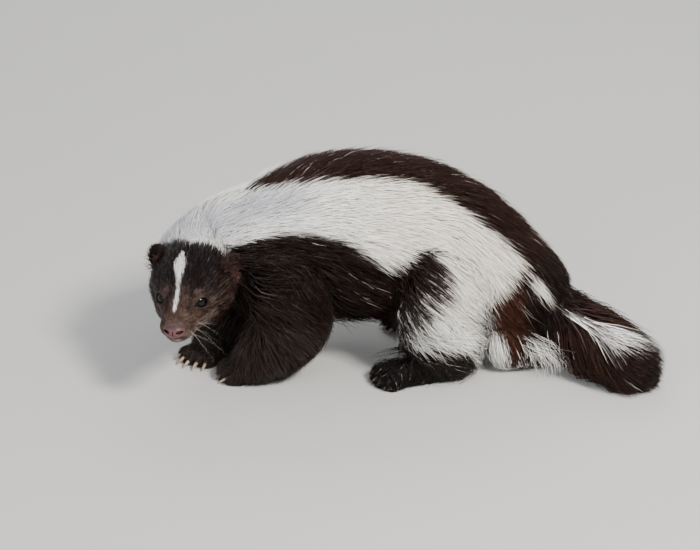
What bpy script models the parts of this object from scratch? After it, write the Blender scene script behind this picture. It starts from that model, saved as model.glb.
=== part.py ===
"""Striped skunk, life size, walking with its back arched and its head turned to its left.

Body coordinates: the trunk runs along X with the tail at +X, the animal's left side is -Y, the floor is z = 0.
Head coordinates: x runs back from the nose, y to the animal's left, z up.
"""

import math
import random

import bmesh
import bpy
from mathutils import Matrix, Vector
from mathutils.bvhtree import BVHTree

# Lengths are in metres.
GAP = 0.0003
FAR = 0.4

# How far the smooth forms fill the coat: 0 is the skin, 1 the tips. Locks fill the rest of the long coat.
CORE_SHARE = 0.4
HEAD_SHARE = 1.0

# A station is a centre, a half width, a half height and the depth of the coat there.
TRUNK = [
    ((-0.106, 0.004, 0.080), 0.022, 0.026, 0.006),
    ((-0.096, 0.002, 0.081), 0.032, 0.036, 0.008),
    ((-0.075, -0.001, 0.083), 0.042, 0.044, 0.009),
    ((-0.048, 0.002, 0.087), 0.046, 0.048, 0.010),
    ((-0.015, 0.004, 0.089), 0.049, 0.050, 0.010),
    ((0.020, 0.001, 0.086), 0.050, 0.048, 0.010),
    ((0.052, -0.009, 0.076), 0.048, 0.044, 0.010),
    ((0.080, -0.023, 0.062), 0.040, 0.037, 0.010),
    ((0.103, -0.037, 0.052), 0.028, 0.027, 0.010),
    ((0.118, -0.046, 0.046), 0.018, 0.018, 0.010),
]
NECK = [
    ((-0.070, 0.000, 0.087), 0.038, 0.040, 0.008),
    ((-0.094, 0.003, 0.085), 0.033, 0.036, 0.008),
    ((-0.113, 0.005, 0.081), 0.026, 0.032, 0.006),
    ((-0.127, -0.004, 0.078), 0.023, 0.028, 0.005),
    ((-0.134, -0.022, 0.075), 0.020, 0.023, 0.003),
]
# The tail drops from the rump and curls along the floor. Its hair hangs to the floor on both sides.
TAIL = [
    ((0.100, -0.038, 0.050), 0.018, 0.018, 0.012),
    ((0.118, -0.046, 0.043), 0.014, 0.014, 0.018),
    ((0.134, -0.056, 0.032), 0.012, 0.012, 0.018),
    ((0.149, -0.070, 0.022), 0.011, 0.010, 0.016),
    ((0.162, -0.084, 0.016), 0.010, 0.009, 0.014),
    ((0.173, -0.097, 0.012), 0.008, 0.007, 0.010),
    ((0.181, -0.107, 0.009), 0.004, 0.004, 0.006),
]
# The long hair that hangs from the rump and the tail's root to the floor, as a core down its middle.
CURTAIN = [
    ((0.084, -0.036, 0.050), 0.016, 0.012, 0.008),
    ((0.086, -0.041, 0.034), 0.015, 0.010, 0.009),
    ((0.090, -0.045, 0.018), 0.014, 0.008, 0.009),
    ((0.093, -0.048, 0.004), 0.013, 0.006, 0.009),
]

# The head, with its nose at HEAD_NOSE in body coordinates.
HEAD_NOSE = Vector((-0.1530, -0.0850, 0.0655))
HEAD_YAW = math.radians(19.0)
HEAD_PITCH = math.radians(7.0)
HEAD_ROLL = math.radians(-2.0)
HEAD = [
    ((0.003, 0.0, 0.0005), 0.0068, 0.0062, 0.0004),
    ((0.009, 0.0, 0.0000), 0.0098, 0.0090, 0.0006),
    ((0.017, 0.0, 0.0008), 0.0120, 0.0118, 0.0010),
    ((0.026, 0.0, 0.0024), 0.0148, 0.0142, 0.0014),
    ((0.036, 0.0, 0.0042), 0.0192, 0.0178, 0.0018),
    ((0.048, 0.0, 0.0058), 0.0225, 0.0208, 0.0026),
    ((0.060, 0.0, 0.0062), 0.0232, 0.0228, 0.0034),
    ((0.072, 0.0, 0.0056), 0.0225, 0.0228, 0.0040),
    ((0.083, 0.0, 0.0040), 0.0205, 0.0208, 0.0048),
    ((0.091, 0.0, 0.0030), 0.0150, 0.0160, 0.0050),
]
CHIN = ((0.0180, 0.0, -0.0095), (0.0150, 0.0085, 0.0052), 0.0008)
# Pairs of forms on the head: the centre of the left one, its radii and the depth of the coat.
HEAD_PAIRS = [
    ((0.0110, 0.0060, -0.0028), (0.0095, 0.0056, 0.0058), 0.0006),
    ((0.0340, 0.0098, 0.0142), (0.0095, 0.0062, 0.0048), 0.0012),
    ((0.0500, 0.0090, -0.0070), (0.0240, 0.0125, 0.0120), 0.0035),
    ((0.0590, 0.0135, -0.0020), (0.0200, 0.0115, 0.0140), 0.0045),
]

EYE_CENTRE = Vector((0.0268, 0.0118, 0.0086))
EYE_RADIUS = 0.0052
EYE_AXIS = Vector((-0.66, 0.70, 0.27)).normalized()
LID_THICKNESS = 0.0013
LID_OPENING = (0.0047, 0.0034)

EAR_CENTRE = Vector((0.0620, 0.0264, 0.0120))
EAR_RADII = (0.0056, 0.0102, 0.0124)
EAR_WALL = 0.0019
EAR_OUTWARD = math.radians(33.0)
EAR_LEAN = math.radians(12.0)

NOSE_CENTRE = Vector((0.0010, 0.0, 0.0002))
NOSE_RADII = (0.0058, 0.0075, 0.0050)
NOSTRIL_CENTRE = Vector((-0.0032, 0.0036, -0.0006))
NOSTRIL_RADII = (0.0034, 0.0015, 0.0011)
NOSE_GROOVE_RADII = (0.0016, 0.0003, 0.0032)

# The line where the lips meet, on the left side from under the nose to the corner of the mouth.
MOUTH = [(0.0020, 0.0000, -0.0078), (0.0070, 0.0060, -0.0078), (0.0135, 0.0088, -0.0078),
         (0.0215, 0.0110, -0.0078), (0.0300, 0.0138, -0.0066)]
MOUTH_GROOVE = 0.0007
LIP = 0.0018

# Each leg runs from inside the trunk to the toes.
LEGS = {
    "foreleg_left": [
        ((-0.072, -0.030, 0.082), 0.022, 0.026, 0.006),
        ((-0.066, -0.038, 0.062), 0.020, 0.024, 0.007),
        ((-0.066, -0.042, 0.045), 0.018, 0.018, 0.007),
        ((-0.075, -0.041, 0.031), 0.0155, 0.0150, 0.0050),
        ((-0.085, -0.038, 0.018), 0.0125, 0.0120, 0.0034),
        ((-0.093, -0.036, 0.0095), 0.0118, 0.0095, 0.0018),
        ((-0.100, -0.034, 0.0068), 0.0108, 0.0070, 0.0010),
    ],
    "foreleg_right": [
        ((-0.092, 0.026, 0.080), 0.022, 0.026, 0.006),
        ((-0.086, 0.030, 0.060), 0.019, 0.022, 0.007),
        ((-0.090, 0.027, 0.042), 0.016, 0.016, 0.006),
        ((-0.099, 0.020, 0.029), 0.0130, 0.0130, 0.0042),
        ((-0.110, 0.011, 0.018), 0.0115, 0.0110, 0.0030),
        ((-0.118, 0.004, 0.0095), 0.0115, 0.0095, 0.0016),
        ((-0.125, -0.002, 0.0068), 0.0105, 0.0070, 0.0010),
    ],
    "hindleg_left": [
        ((0.054, -0.036, 0.070), 0.030, 0.036, 0.008),
        ((0.042, -0.045, 0.054), 0.025, 0.033, 0.009),
        ((0.037, -0.051, 0.038), 0.019, 0.024, 0.008),
        ((0.046, -0.0545, 0.024), 0.0135, 0.0160, 0.005),
        ((0.047, -0.0555, 0.0125), 0.0112, 0.0108, 0.0022),
        ((0.031, -0.0565, 0.0085), 0.0112, 0.0085, 0.0012),
        ((0.015, -0.0580, 0.0065), 0.0115, 0.0066, 0.0008),
        ((0.006, -0.0592, 0.0058), 0.0104, 0.0058, 0.0006),
    ],
    "hindleg_right": [
        ((0.074, 0.002, 0.068), 0.029, 0.034, 0.008),
        ((0.072, 0.014, 0.052), 0.024, 0.030, 0.008),
        ((0.066, 0.022, 0.037), 0.018, 0.022, 0.007),
        ((0.073, 0.023, 0.024), 0.0130, 0.0150, 0.005),
        ((0.073, 0.0225, 0.0125), 0.0112, 0.0108, 0.0022),
        ((0.056, 0.0240, 0.0085), 0.0112, 0.0085, 0.0012),
        ((0.038, 0.0255, 0.0065), 0.0115, 0.0066, 0.0008),
        ((0.028, 0.0260, 0.0058), 0.0104, 0.0058, 0.0006),
    ],
}
TOES = 5
TOE_SPACING = 0.0046
TOE_RADII = (0.0068, 0.0031, 0.0042)
TOE_FAN = 0.14
TOE_REACH = 0.0075
TOE_CURVE = 0.0011
TOE_CLEAR = 0.0004
CLAW_RADIUS = 0.0014
CLAW_LENGTH = {"foreleg": 0.0105, "hindleg": 0.0075}
# Where a claw starts ahead of its toe's middle and above it.
CLAW_START = (0.0025, 0.0008)
# How high a claw is above the floor half way and at its tip.
CLAW_HEIGHTS = (0.0034, 0.0012)

# Cutting planes between the nodes: a point and the direction out of the node.
HEAD_REGION = [
    ((-0.1269, -0.0093, 0.080), (0.45, 0.89, 0.0)),
    ((-0.0990, -0.0560, 0.070), (0.95, -0.33, 0.0)),
    ((-0.1269, -0.0400, 0.032), (0.0, 0.0, -1.0)),
]
LEG_REGIONS = {
    "foreleg_left": [
        ((-0.060, -0.048, 0.060), (0.0, 0.60, 0.80)),
        ((-0.115, -0.0180, 0.0), (-0.243, 0.970, 0.0)),
        ((-0.028, -0.040, 0.0), (1.0, 0.0, 0.0)),
    ],
    "foreleg_right": [
        ((-0.092, 0.034, 0.056), (0.0, -0.60, 0.80)),
        ((-0.115, -0.0183, 0.0), (0.243, -0.970, 0.0)),
        ((-0.056, 0.030, 0.0), (1.0, 0.0, 0.0)),
    ],
    "hindleg_left": [
        ((0.040, -0.062, 0.064), (0.0, 0.60, 0.80)),
        ((0.030, -0.024, 0.0), (0.0, 1.0, 0.0)),
        ((0.064, -0.050, 0.0), (1.0, 0.0, 0.0)),
        ((-0.026, -0.050, 0.0), (-1.0, 0.0, 0.0)),
    ],
    "hindleg_right": [
        ((0.072, 0.030, 0.056), (0.0, -0.60, 0.80)),
        ((0.060, 0.002, 0.0), (0.0, -1.0, 0.0)),
        ((0.100, 0.020, 0.0), (1.0, 0.0, 0.0)),
        ((0.010, 0.020, 0.0), (-1.0, 0.0, 0.0)),
    ],
}
NECK_PLANE = ((-0.088, 0.0, 0.090), (0.86, 0.10, -0.50))
TAIL_PLANE = ((0.088, -0.035, 0.045), (-0.60, 0.30, 0.74))
ANKLE_PLANE = ((0.0, 0.0, 0.0198), (0.0, 0.0, 1.0))
FLOOR_PLANE = ((0.0, 0.0, 0.0), (0.0, 0.0, -1.0))

# Voxel of the blending, rounds of smoothing and triangles of the whole form that each node is cut from.
BODY_FORM = (0.0021, 7, 1900)
LEG_FORM = (0.0013, 4, 760)
HEAD_FORM = (0.0010, 4, 3100)

# Fields of locks: stations, rows, first and last share of the stations, spacing round the form, length and width
# of a lock, how much its hair turns down on the flanks, and the lowest way that the surface may face.
LOCK_FIELDS = [
    (TRUNK, 8, 0.16, 0.88, 0.0285, 0.048, 0.0255, 0.75, -0.62),
    (NECK, 3, 0.16, 0.70, 0.024, 0.030, 0.019, 0.50, -0.62),
    (TAIL, 5, 0.10, 0.82, 0.023, 0.052, 0.020, 0.55, -1.00),
    (CURTAIN, 2, 0.20, 0.80, 0.019, 0.030, 0.017, 0.00, -1.00),
    (LEGS["foreleg_left"], 1, 0.12, 0.40, 0.021, 0.028, 0.017, 0.00, -0.62),
    (LEGS["foreleg_right"], 1, 0.12, 0.40, 0.021, 0.028, 0.017, 0.00, -0.62),
    (LEGS["hindleg_left"], 2, 0.06, 0.34, 0.025, 0.030, 0.019, 0.00, -0.62),
    (LEGS["hindleg_right"], 2, 0.06, 0.34, 0.025, 0.030, 0.019, 0.00, -0.62),
]
# Sections of a lock from its root to before its tip: share of its full width and thickness.
LOCK_SECTIONS = [(0.70, 0.90), (1.00, 1.00), (0.64, 0.62)]
LOCK_THICKNESS = 0.0056
LOCK_ROOT_DEPTH = 0.0042
LOCK_BEND = 0.22
# Locks grow only where the form's surface is this close to their stations' own.
LOCK_SEARCH = 0.0035
# A leg also takes the locks that come this close to its region.
LOCK_MARGIN = 0.004

# Colour and roughness of each kind of node.
FINISHES = {
    "head": ((0.020, 0.012, 0.009), 0.60),
    "ear": ((0.110, 0.045, 0.036), 0.65),
    "eye": ((0.006, 0.005, 0.005), 0.08),
    "nose": ((0.360, 0.130, 0.130), 0.38),
    "neck": ((0.620, 0.590, 0.550), 0.75),
    "torso": ((0.520, 0.490, 0.440), 0.75),
    "tail": ((0.055, 0.036, 0.028), 0.70),
    "foreleg": ((0.016, 0.011, 0.009), 0.60),
    "hindleg": ((0.014, 0.010, 0.008), 0.60),
    "hindfoot": ((0.014, 0.010, 0.008), 0.60),
}


def clear_scene():
    for item in list(bpy.data.objects):
        bpy.data.objects.remove(item, do_unlink=True)


def spline(values, share):
    """A point of the Catmull-Rom curve through equal-length tuples, share from 0 to 1."""
    spans = len(values) - 1
    at = min(max(share, 0.0), 1.0) * spans
    i = min(int(at), spans - 1)
    t = at - i
    p1, p2 = values[i], values[i + 1]
    p0 = values[i - 1] if i else [2 * a - b for a, b in zip(p1, p2)]
    p3 = values[i + 2] if i + 2 <= spans else [2 * b - a for a, b in zip(p1, p2)]
    return [
        0.5 * (2 * b + (c - a) * t + (2 * a - 5 * b + 4 * c - d) * t**2 + (3 * b - a - 3 * c + d) * t**3)
        for a, b, c, d in zip(p0, p1, p2, p3)
    ]


def object_of(name, mesh):
    item = bpy.data.objects.new(name, mesh)
    bpy.context.scene.collection.objects.link(item)
    return item


def object_of_bmesh(name, mesh):
    mesh.normal_update()
    bmesh.ops.recalc_face_normals(mesh, faces=mesh.faces)
    data = bpy.data.meshes.new(name)
    mesh.to_mesh(data)
    mesh.free()
    return object_of(name, data)


def remove(item):
    bpy.data.objects.remove(item, do_unlink=True)


def section(stations, at, share):
    """Centre, direction, sideways and upward half axes and coat of a loft at a share of its length."""
    flat = [[*centre, wide + coat * share, high + coat * share, coat] for centre, wide, high, coat in stations]
    x, y, z, wide, high, coat = spline(flat, at)
    along = (Vector(spline(flat, at + 0.01)[:3]) - Vector(spline(flat, at - 0.01)[:3])).normalized()
    side = along.cross(Vector((0.0, 0.02, 1.0))).normalized()
    return Vector((x, y, z)), along, side * wide, side.cross(along) * high, coat


def loft(name, stations, rings=24, sides=24, power=2.0, share=0.0):
    """A closed tube of elliptical sections along the stations, with a pole at each end."""
    mesh = bmesh.new()
    rows = []
    for r in range(rings + 1):
        centre, along, side, lift, _ = section(stations, r / rings, share)
        row = []
        for s in range(sides):
            c, d = math.cos(2 * math.pi * s / sides), math.sin(2 * math.pi * s / sides)
            swell = (abs(c) ** power + abs(d) ** power) ** (-1 / power)
            row.append(mesh.verts.new(centre + (side * c + lift * d) * swell))
        rows.append(row)
        if r in (0, rings):
            pole = mesh.verts.new(centre + along * (0.6 * lift.length) * (1 if r else -1))
            for s in range(sides):
                mesh.faces.new((row[s], row[(s + 1) % sides], pole))
    for one, two in zip(rows, rows[1:]):
        for s in range(sides):
            n = (s + 1) % sides
            mesh.faces.new((one[s], one[n], two[n], two[s]))
    return object_of_bmesh(name, mesh)


def ball(name, centre, radii, turn=None, segments=24):
    """An ellipsoid with its size and turn in the mesh."""
    mesh = bmesh.new()
    bmesh.ops.create_uvsphere(mesh, u_segments=segments, v_segments=segments // 2, radius=1.0)
    mesh.transform(Matrix.Translation(centre) @ (turn or Matrix()).to_4x4() @ Matrix.Diagonal((*radii, 1.0)))
    return object_of_bmesh(name, mesh)


def region(name, planes, grow=0.0):
    """The convex space inside all the planes, or with each plane moved out by grow."""
    mesh = bmesh.new()
    bmesh.ops.create_cube(mesh, size=2 * FAR)
    for point, normal in planes:
        out = Vector(normal).normalized()
        cut = bmesh.ops.bisect_plane(
            mesh, geom=mesh.verts[:] + mesh.edges[:] + mesh.faces[:], dist=1e-7,
            plane_co=Vector(point) + out * grow, plane_no=out, clear_outer=True,
        )
        rim = [part for part in cut["geom_cut"] if isinstance(part, bmesh.types.BMEdge)]
        bmesh.ops.edgeloop_fill(mesh, edges=rim)
    return object_of_bmesh(name, mesh)


def applied(item):
    """The object with its modifiers made real."""
    bpy.context.view_layer.update()
    graph = bpy.context.evaluated_depsgraph_get()
    mesh = bpy.data.meshes.new_from_object(item.evaluated_get(graph))
    item.modifiers.clear()
    item.data = mesh
    return item


def copy_of(item, name):
    return object_of(name, item.data.copy())


def boolean(item, other, operation):
    """Cut or join with a closed object, which is then removed."""
    change = item.modifiers.new("boolean", "BOOLEAN")
    change.operation = operation
    change.solver = "MANIFOLD"
    change.object = other
    applied(item)
    remove(other)
    return item


def fused(item, pieces):
    """The union of an object and a list of closed pieces, by one Boolean on their collection."""
    group = bpy.data.collections.new("pieces")
    bpy.context.scene.collection.children.link(group)
    for piece in pieces:
        group.objects.link(piece)
    change = item.modifiers.new("union", "BOOLEAN")
    change.operation = "UNION"
    change.solver = "MANIFOLD"
    change.operand_type = "COLLECTION"
    change.collection = group
    applied(item)
    for piece in pieces:
        remove(piece)
    bpy.data.collections.remove(group)
    return item


def largest(item):
    """Keep only the largest closed surface of the object."""
    mesh = bmesh.new()
    mesh.from_mesh(item.data)
    left = set(mesh.verts)
    shells = []
    while left:
        stack = [left.pop()]
        shell = set(stack)
        while stack:
            for edge in stack.pop().link_edges:
                for vert in edge.verts:
                    if vert in left:
                        left.remove(vert)
                        shell.add(vert)
                        stack.append(vert)
        shells.append(shell)
    shells.sort(key=len)
    for shell in shells[:-1]:
        bmesh.ops.delete(mesh, geom=list(shell), context="VERTS")
    bmesh.ops.triangulate(mesh, faces=mesh.faces)
    mesh.to_mesh(item.data)
    mesh.free()
    return item


def blended(name, pieces, voxel, rounds, triangles):
    """One smooth closed form out of overlapping pieces, with about the given number of triangles."""
    mesh = bmesh.new()
    for piece in pieces:
        mesh.from_mesh(piece.data)
        remove(piece)
    form = object_of_bmesh(name, mesh)
    remesh = form.modifiers.new("remesh", "REMESH")
    remesh.mode = "VOXEL"
    remesh.voxel_size = voxel
    smooth = form.modifiers.new("smooth", "SMOOTH")
    smooth.iterations = rounds
    applied(form)
    fewer = form.modifiers.new("fewer", "DECIMATE")
    fewer.ratio = triangles / (2 * len(form.data.polygons))
    return largest(applied(form))


def head_frame():
    """Head coordinates to body coordinates."""
    level = Vector((-math.sin(HEAD_YAW), -math.cos(HEAD_YAW), 0.0))
    forward = level * math.cos(HEAD_PITCH) - Vector((0.0, 0.0, math.sin(HEAD_PITCH)))
    left = Vector((0.0, 0.0, 1.0)).cross(forward).normalized()
    turn = Matrix((-forward, left, forward.cross(left))).transposed()
    return Matrix.Translation(HEAD_NOSE) @ (Matrix.Rotation(HEAD_ROLL, 3, forward) @ turn).to_4x4()


def in_head(item):
    """Move a form from head coordinates, which are left-handed, so its faces are turned to point out again."""
    item.data.transform(head_frame())
    item.data.flip_normals()
    return item


def on_side(point, side):
    return Vector((point[0], point[1] * side, point[2]))


def facing(axis):
    """The turn that takes x to the axis and keeps z upright."""
    across = Vector((0.0, 0.0, 1.0)).cross(axis).normalized()
    return Matrix((axis, across, axis.cross(across))).transposed()


def mouth_line(rise):
    """Stations round the whole line of the mouth, moved up by rise."""
    left = [Vector(point) for point in MOUTH]
    right = [on_side(point, -1) for point in MOUTH[:0:-1]]
    return [point + Vector((0.0, 0.0, rise)) for point in right + left]


def head_pieces(share):
    pieces = [
        loft("skull", HEAD, 30, 32, 2.2, share),
        ball("chin", CHIN[0], [radius + CHIN[2] * share for radius in CHIN[1]]),
    ]
    for side in (1, -1):
        for centre, radii, coat in HEAD_PAIRS:
            pieces.append(ball("form", on_side(centre, side), [radius + coat * share for radius in radii]))
        lid = EYE_RADIUS + GAP + LID_THICKNESS
        pieces.append(ball("lids", on_side(EYE_CENTRE, side), (lid, lid, lid)))
    for rise in (LIP, -LIP):
        stations = [(point + Vector((LIP, 0.0, 0.0)), LIP, LIP, 0.0) for point in mouth_line(rise)]
        pieces.append(loft("lip", stations, 24, 10))
    return [in_head(piece) for piece in pieces] + [loft("neck", NECK, 16, 28, 2.0, share)]


def leg_pieces(name, share):
    """One leg with its toes."""
    stations = LEGS[name]
    pieces = [loft(name, stations, 28, 20, 2.0, share)]
    for place, aim, turn in toes_of(name):
        pieces.append(ball("toe", place, TOE_RADII, turn, 12))
    return pieces


def toes_of(name):
    """Place, direction and turn of each toe, fanned out from the end of the foot."""
    end = Vector(LEGS[name][-1][0])
    ahead = end - Vector(LEGS[name][-3][0])
    ahead.z = 0.0
    ahead.normalize()
    across = Vector((-ahead.y, ahead.x, 0.0))
    toes = []
    for i in range(TOES):
        out = i - (TOES - 1) / 2
        aim = (ahead + across * out * TOE_FAN).normalized()
        place = end + across * out * TOE_SPACING + aim * (TOE_REACH - TOE_CURVE * out * out)
        place.z = TOE_RADII[2] + TOE_CLEAR
        toes.append((place, aim, facing(aim)))
    return toes


def claws_of(name):
    """Curved, tapered claws, which come down to just above the floor."""
    length = CLAW_LENGTH[name.split("_")[0]]
    claws = []
    for place, aim, turn in toes_of(name):
        root = place + aim * CLAW_START[0] + Vector((0.0, 0.0, CLAW_START[1]))
        middle = root + aim * length * 0.60
        tip = root + aim * length
        middle.z, tip.z = CLAW_HEIGHTS
        stations = [
            (root, CLAW_RADIUS, CLAW_RADIUS * 1.1, 0.0),
            (middle, CLAW_RADIUS * 0.8, CLAW_RADIUS * 0.9, 0.0),
            (tip, CLAW_RADIUS * 0.3, CLAW_RADIUS * 0.3, 0.0),
        ]
        claws.append(loft("claw", stations, 2, 5))
    return claws


def body_form(share):
    pieces = [
        loft("trunk", TRUNK, 32, 32, 2.0, share),
        loft("neck", NECK, 16, 28, 2.0, share),
        loft("tail", TAIL, 20, 20, 2.0, share),
        loft("curtain", CURTAIN, 16, 16, 2.0, share),
    ]
    for name, stations in LEGS.items():
        pieces.append(loft(name, stations, 28, 20, 2.0, share))
    return blended("body", pieces, *BODY_FORM)


def lock(tree, root, flow, length, width, reach, bend):
    """A flat, tapered lock that starts under the form, follows it and rises to the tips of the coat."""
    steps = len(LOCK_SECTIONS)
    mesh = bmesh.new()
    rows = []
    here = root
    for i in range(steps + 1):
        spot, normal, _, _ = tree.find_nearest(here)
        flow = (flow - normal * flow.dot(normal)).normalized()
        flow = Matrix.Rotation(bend / steps, 3, normal) @ flow
        across = normal.cross(flow)
        middle = spot + normal * (reach * (i / steps) ** 0.8 - LOCK_ROOT_DEPTH * (1 - i / steps))
        if i == steps:
            tip = mesh.verts.new(middle)
            break
        wide = across * width * LOCK_SECTIONS[i][0] / 2
        thick = normal * LOCK_THICKNESS * LOCK_SECTIONS[i][1] / 2
        rows.append([mesh.verts.new(middle + part) for part in (wide, thick, -wide, -thick)])
        here = spot + flow * length / steps
    mesh.faces.new(rows[0])
    for one, two in zip(rows, rows[1:]):
        for k in range(4):
            mesh.faces.new((one[k], one[(k + 1) % 4], two[(k + 1) % 4], two[k]))
    for k in range(4):
        mesh.faces.new((rows[-1][k], rows[-1][(k + 1) % 4], tip))
    bmesh.ops.triangulate(mesh, faces=mesh.faces)
    return object_of_bmesh("lock", mesh)


def lock_field(tree, draw, stations, rows, first, last, spacing, length, width, fall, lowest):
    """Staggered rows of locks round a form, which lie back along it and turn down on its sides."""
    locks = []
    for r in range(rows):
        at = first + (last - first) * (r + 0.5) / rows
        centre, along, side, lift, coat = section(stations, at, CORE_SHARE)
        count = round(math.pi * (side.length + lift.length) / spacing)
        for i in range(count):
            angle = 2 * math.pi * (i + 0.5 * (r % 2) + draw.uniform(-0.15, 0.15)) / count
            root = centre + side * math.cos(angle) + lift * math.sin(angle)
            root += along * draw.uniform(-0.1, 0.1) * spacing
            spot, normal, _, _ = tree.find_nearest(root)
            if (spot - root).length > LOCK_SEARCH or normal.z < lowest:
                continue
            turn_down = math.cos(angle) ** 2 if math.sin(angle) > 0.0 else 1.0
            flow = along - Vector((0.0, 0.0, fall * turn_down))
            grow = draw.uniform(0.88, 1.12)
            reach = coat * (1.0 - CORE_SHARE) * draw.uniform(0.85, 1.05)
            bend = draw.uniform(-LOCK_BEND, LOCK_BEND)
            locks.append(lock(tree, spot, flow, length * grow, width * grow, reach, bend))
    return locks


def coat_of(form):
    """All the locks of the long coat, set on the body's form."""
    tree = tree_of(form)
    draw = random.Random(7)
    locks = []
    for field in LOCK_FIELDS:
        locks += lock_field(tree, draw, *field)
    return locks


def tree_of(item):
    return BVHTree.FromPolygons([v.co for v in item.data.vertices], [p.vertices for p in item.data.polygons])


def near(item, planes, margin):
    """Whether any point of an object is inside all the planes, or within the margin of them."""
    for vert in item.data.vertices:
        if all((vert.co - Vector(point)).dot(Vector(out).normalized()) < margin for point, out in planes):
            return True
    return False


def leg(name, locks):
    """One leg, with the hind foot as a node of its own."""
    pieces = leg_pieces(name, CORE_SHARE) + [loft("trunk", TRUNK, 32, 32, 2.0, CORE_SHARE)]
    form = blended(name, pieces, *LEG_FORM)
    coat = [copy_of(item, "lock") for item in locks if near(item, LEG_REGIONS[name], LOCK_MARGIN)]
    fused(form, claws_of(name) + coat)
    boolean(form, region("region", LEG_REGIONS[name] + [FLOOR_PLANE]), "INTERSECT")
    nodes = [form]
    if name.startswith("hindleg"):
        foot = copy_of(form, name.replace("leg", "foot"))
        nodes.append(boolean(foot, region("region", [ANKLE_PLANE]), "INTERSECT"))
        boolean(form, region("region", [ANKLE_PLANE], GAP), "DIFFERENCE")
    return [largest(node) for node in nodes]


def eyes_and_sockets(head):
    """Cut each socket and its opening between the lids out of the head, and make the eyes."""
    eyes = []
    for side, name in ((1, "eye_left"), (-1, "eye_right")):
        centre = on_side(EYE_CENTRE, side)
        axis = on_side(EYE_AXIS, side)
        reach = EYE_RADIUS + GAP
        boolean(head, in_head(ball("socket", centre, (reach, reach, reach), facing(axis), 16)), "DIFFERENCE")
        opening = (EYE_RADIUS * 0.9, *LID_OPENING)
        cutter = ball("opening", centre + axis * EYE_RADIUS, opening, facing(axis), 20)
        boolean(head, in_head(cutter), "DIFFERENCE")
        eyes.append(in_head(ball(name, centre, (EYE_RADIUS, EYE_RADIUS, EYE_RADIUS), facing(axis), 16)))
    return eyes


def nose_pad(grow=0.0):
    return in_head(ball("nose", NOSE_CENTRE, [radius + grow for radius in NOSE_RADII], None, 16))


def nose(head):
    """The bare pad with its nostrils, let into the end of the muzzle."""
    boolean(head, nose_pad(GAP), "DIFFERENCE")
    pad = nose_pad()
    for side in (1, -1):
        turn = Matrix.Rotation(math.radians(35.0) * side, 3, "Z")
        nostril = ball("nostril", on_side(NOSTRIL_CENTRE, side), NOSTRIL_RADII, turn, 8)
        boolean(pad, in_head(nostril), "DIFFERENCE")
    groove = NOSE_CENTRE - Vector((NOSE_RADII[0], 0.0, 0.0))
    boolean(pad, in_head(ball("groove", groove, NOSE_GROOVE_RADII, None, 8)), "DIFFERENCE")
    return largest(pad)


def ears(head):
    """Cupped ears that meet the head across the gap."""
    grown = copy_of(head, "grown")
    swell = grown.modifiers.new("swell", "DISPLACE")
    swell.strength = 1.5 * GAP
    swell.mid_level = 0.0
    applied(grown)
    pair = []
    for side, name in ((1, "ear_left"), (-1, "ear_right")):
        axis = Vector((-math.cos(EAR_OUTWARD), math.sin(EAR_OUTWARD) * side, 0.0))
        turn = Matrix.Rotation(-EAR_LEAN * side, 3, "X") @ facing(axis)
        centre = on_side(EAR_CENTRE, side)
        ear = ball(name, centre, EAR_RADII, turn, 20)
        hollow = [radius - EAR_WALL for radius in EAR_RADII]
        hollow[0] = EAR_RADII[0]
        cup = ball("cup", centre + turn @ Vector((EAR_WALL * 1.6, 0.0, 0.0)), hollow, turn, 16)
        boolean(ear, cup, "DIFFERENCE")
        in_head(ear)
        boolean(ear, copy_of(grown, "head"), "DIFFERENCE")
        pair.append(largest(ear))
    remove(grown)
    return pair


def mouth(head):
    """Cut the line of the mouth into the surface."""
    tree = tree_of(head)
    frame = head_frame()
    line = [tree.find_nearest(frame @ point)[0] for point in mouth_line(0.0)]
    stations = [(point, MOUTH_GROOVE, MOUTH_GROOVE, 0.0) for point in line]
    boolean(head, loft("groove", stations, 24, 6), "DIFFERENCE")


def head_nodes():
    head = blended("head", head_pieces(HEAD_SHARE), *HEAD_FORM)
    boolean(head, region("region", HEAD_REGION), "INTERSECT")
    pair = ears(head)
    mouth(head)
    pad = nose(head)
    eyes = eyes_and_sockets(head)
    return [largest(head), pad, *pair, *eyes]


def trimmed(form, name, planes, clear):
    """A copy of the form inside the planes and clear of the regions of its neighbours."""
    node = copy_of(form, name)
    boolean(node, region("region", planes), "INTERSECT")
    for other in clear:
        boolean(node, region("region", other, GAP), "DIFFERENCE")
    return largest(node)


def flipped(plane, shift=0.0):
    """The other side of a plane, moved away from it by shift."""
    point, out = plane
    away = Vector(out).normalized()
    return (Vector(point) + away * shift, -away)


def body_nodes():
    form = body_form(CORE_SHARE)
    locks = coat_of(form)
    leg_nodes = [node for name in LEGS for node in leg(name, locks)]
    fused(form, locks)
    legs = list(LEG_REGIONS.values())
    neck = trimmed(form, "neck", [NECK_PLANE, FLOOR_PLANE], [HEAD_REGION, *legs])
    tail = trimmed(form, "tail", [TAIL_PLANE, FLOOR_PLANE], legs)
    sides = [flipped(NECK_PLANE, GAP), flipped(TAIL_PLANE, GAP), FLOOR_PLANE]
    torso = trimmed(form, "torso", sides, [HEAD_REGION, *legs])
    remove(form)
    return [neck, torso, tail, *leg_nodes]


def set_finish(item):
    colour, roughness = FINISHES[item.name.split("_")[0]]
    material = bpy.data.materials.new(item.name)
    material.use_nodes = True
    shader = material.node_tree.nodes["Principled BSDF"]
    shader.inputs["Base Color"].default_value = (*colour, 1.0)
    shader.inputs["Roughness"].default_value = roughness
    shader.inputs["Metallic"].default_value = 0.0
    item.data.materials.clear()
    item.data.materials.append(material)
    item.data.shade_smooth()
    item.data.set_sharp_from_angle(angle=math.radians(40.0))


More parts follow.
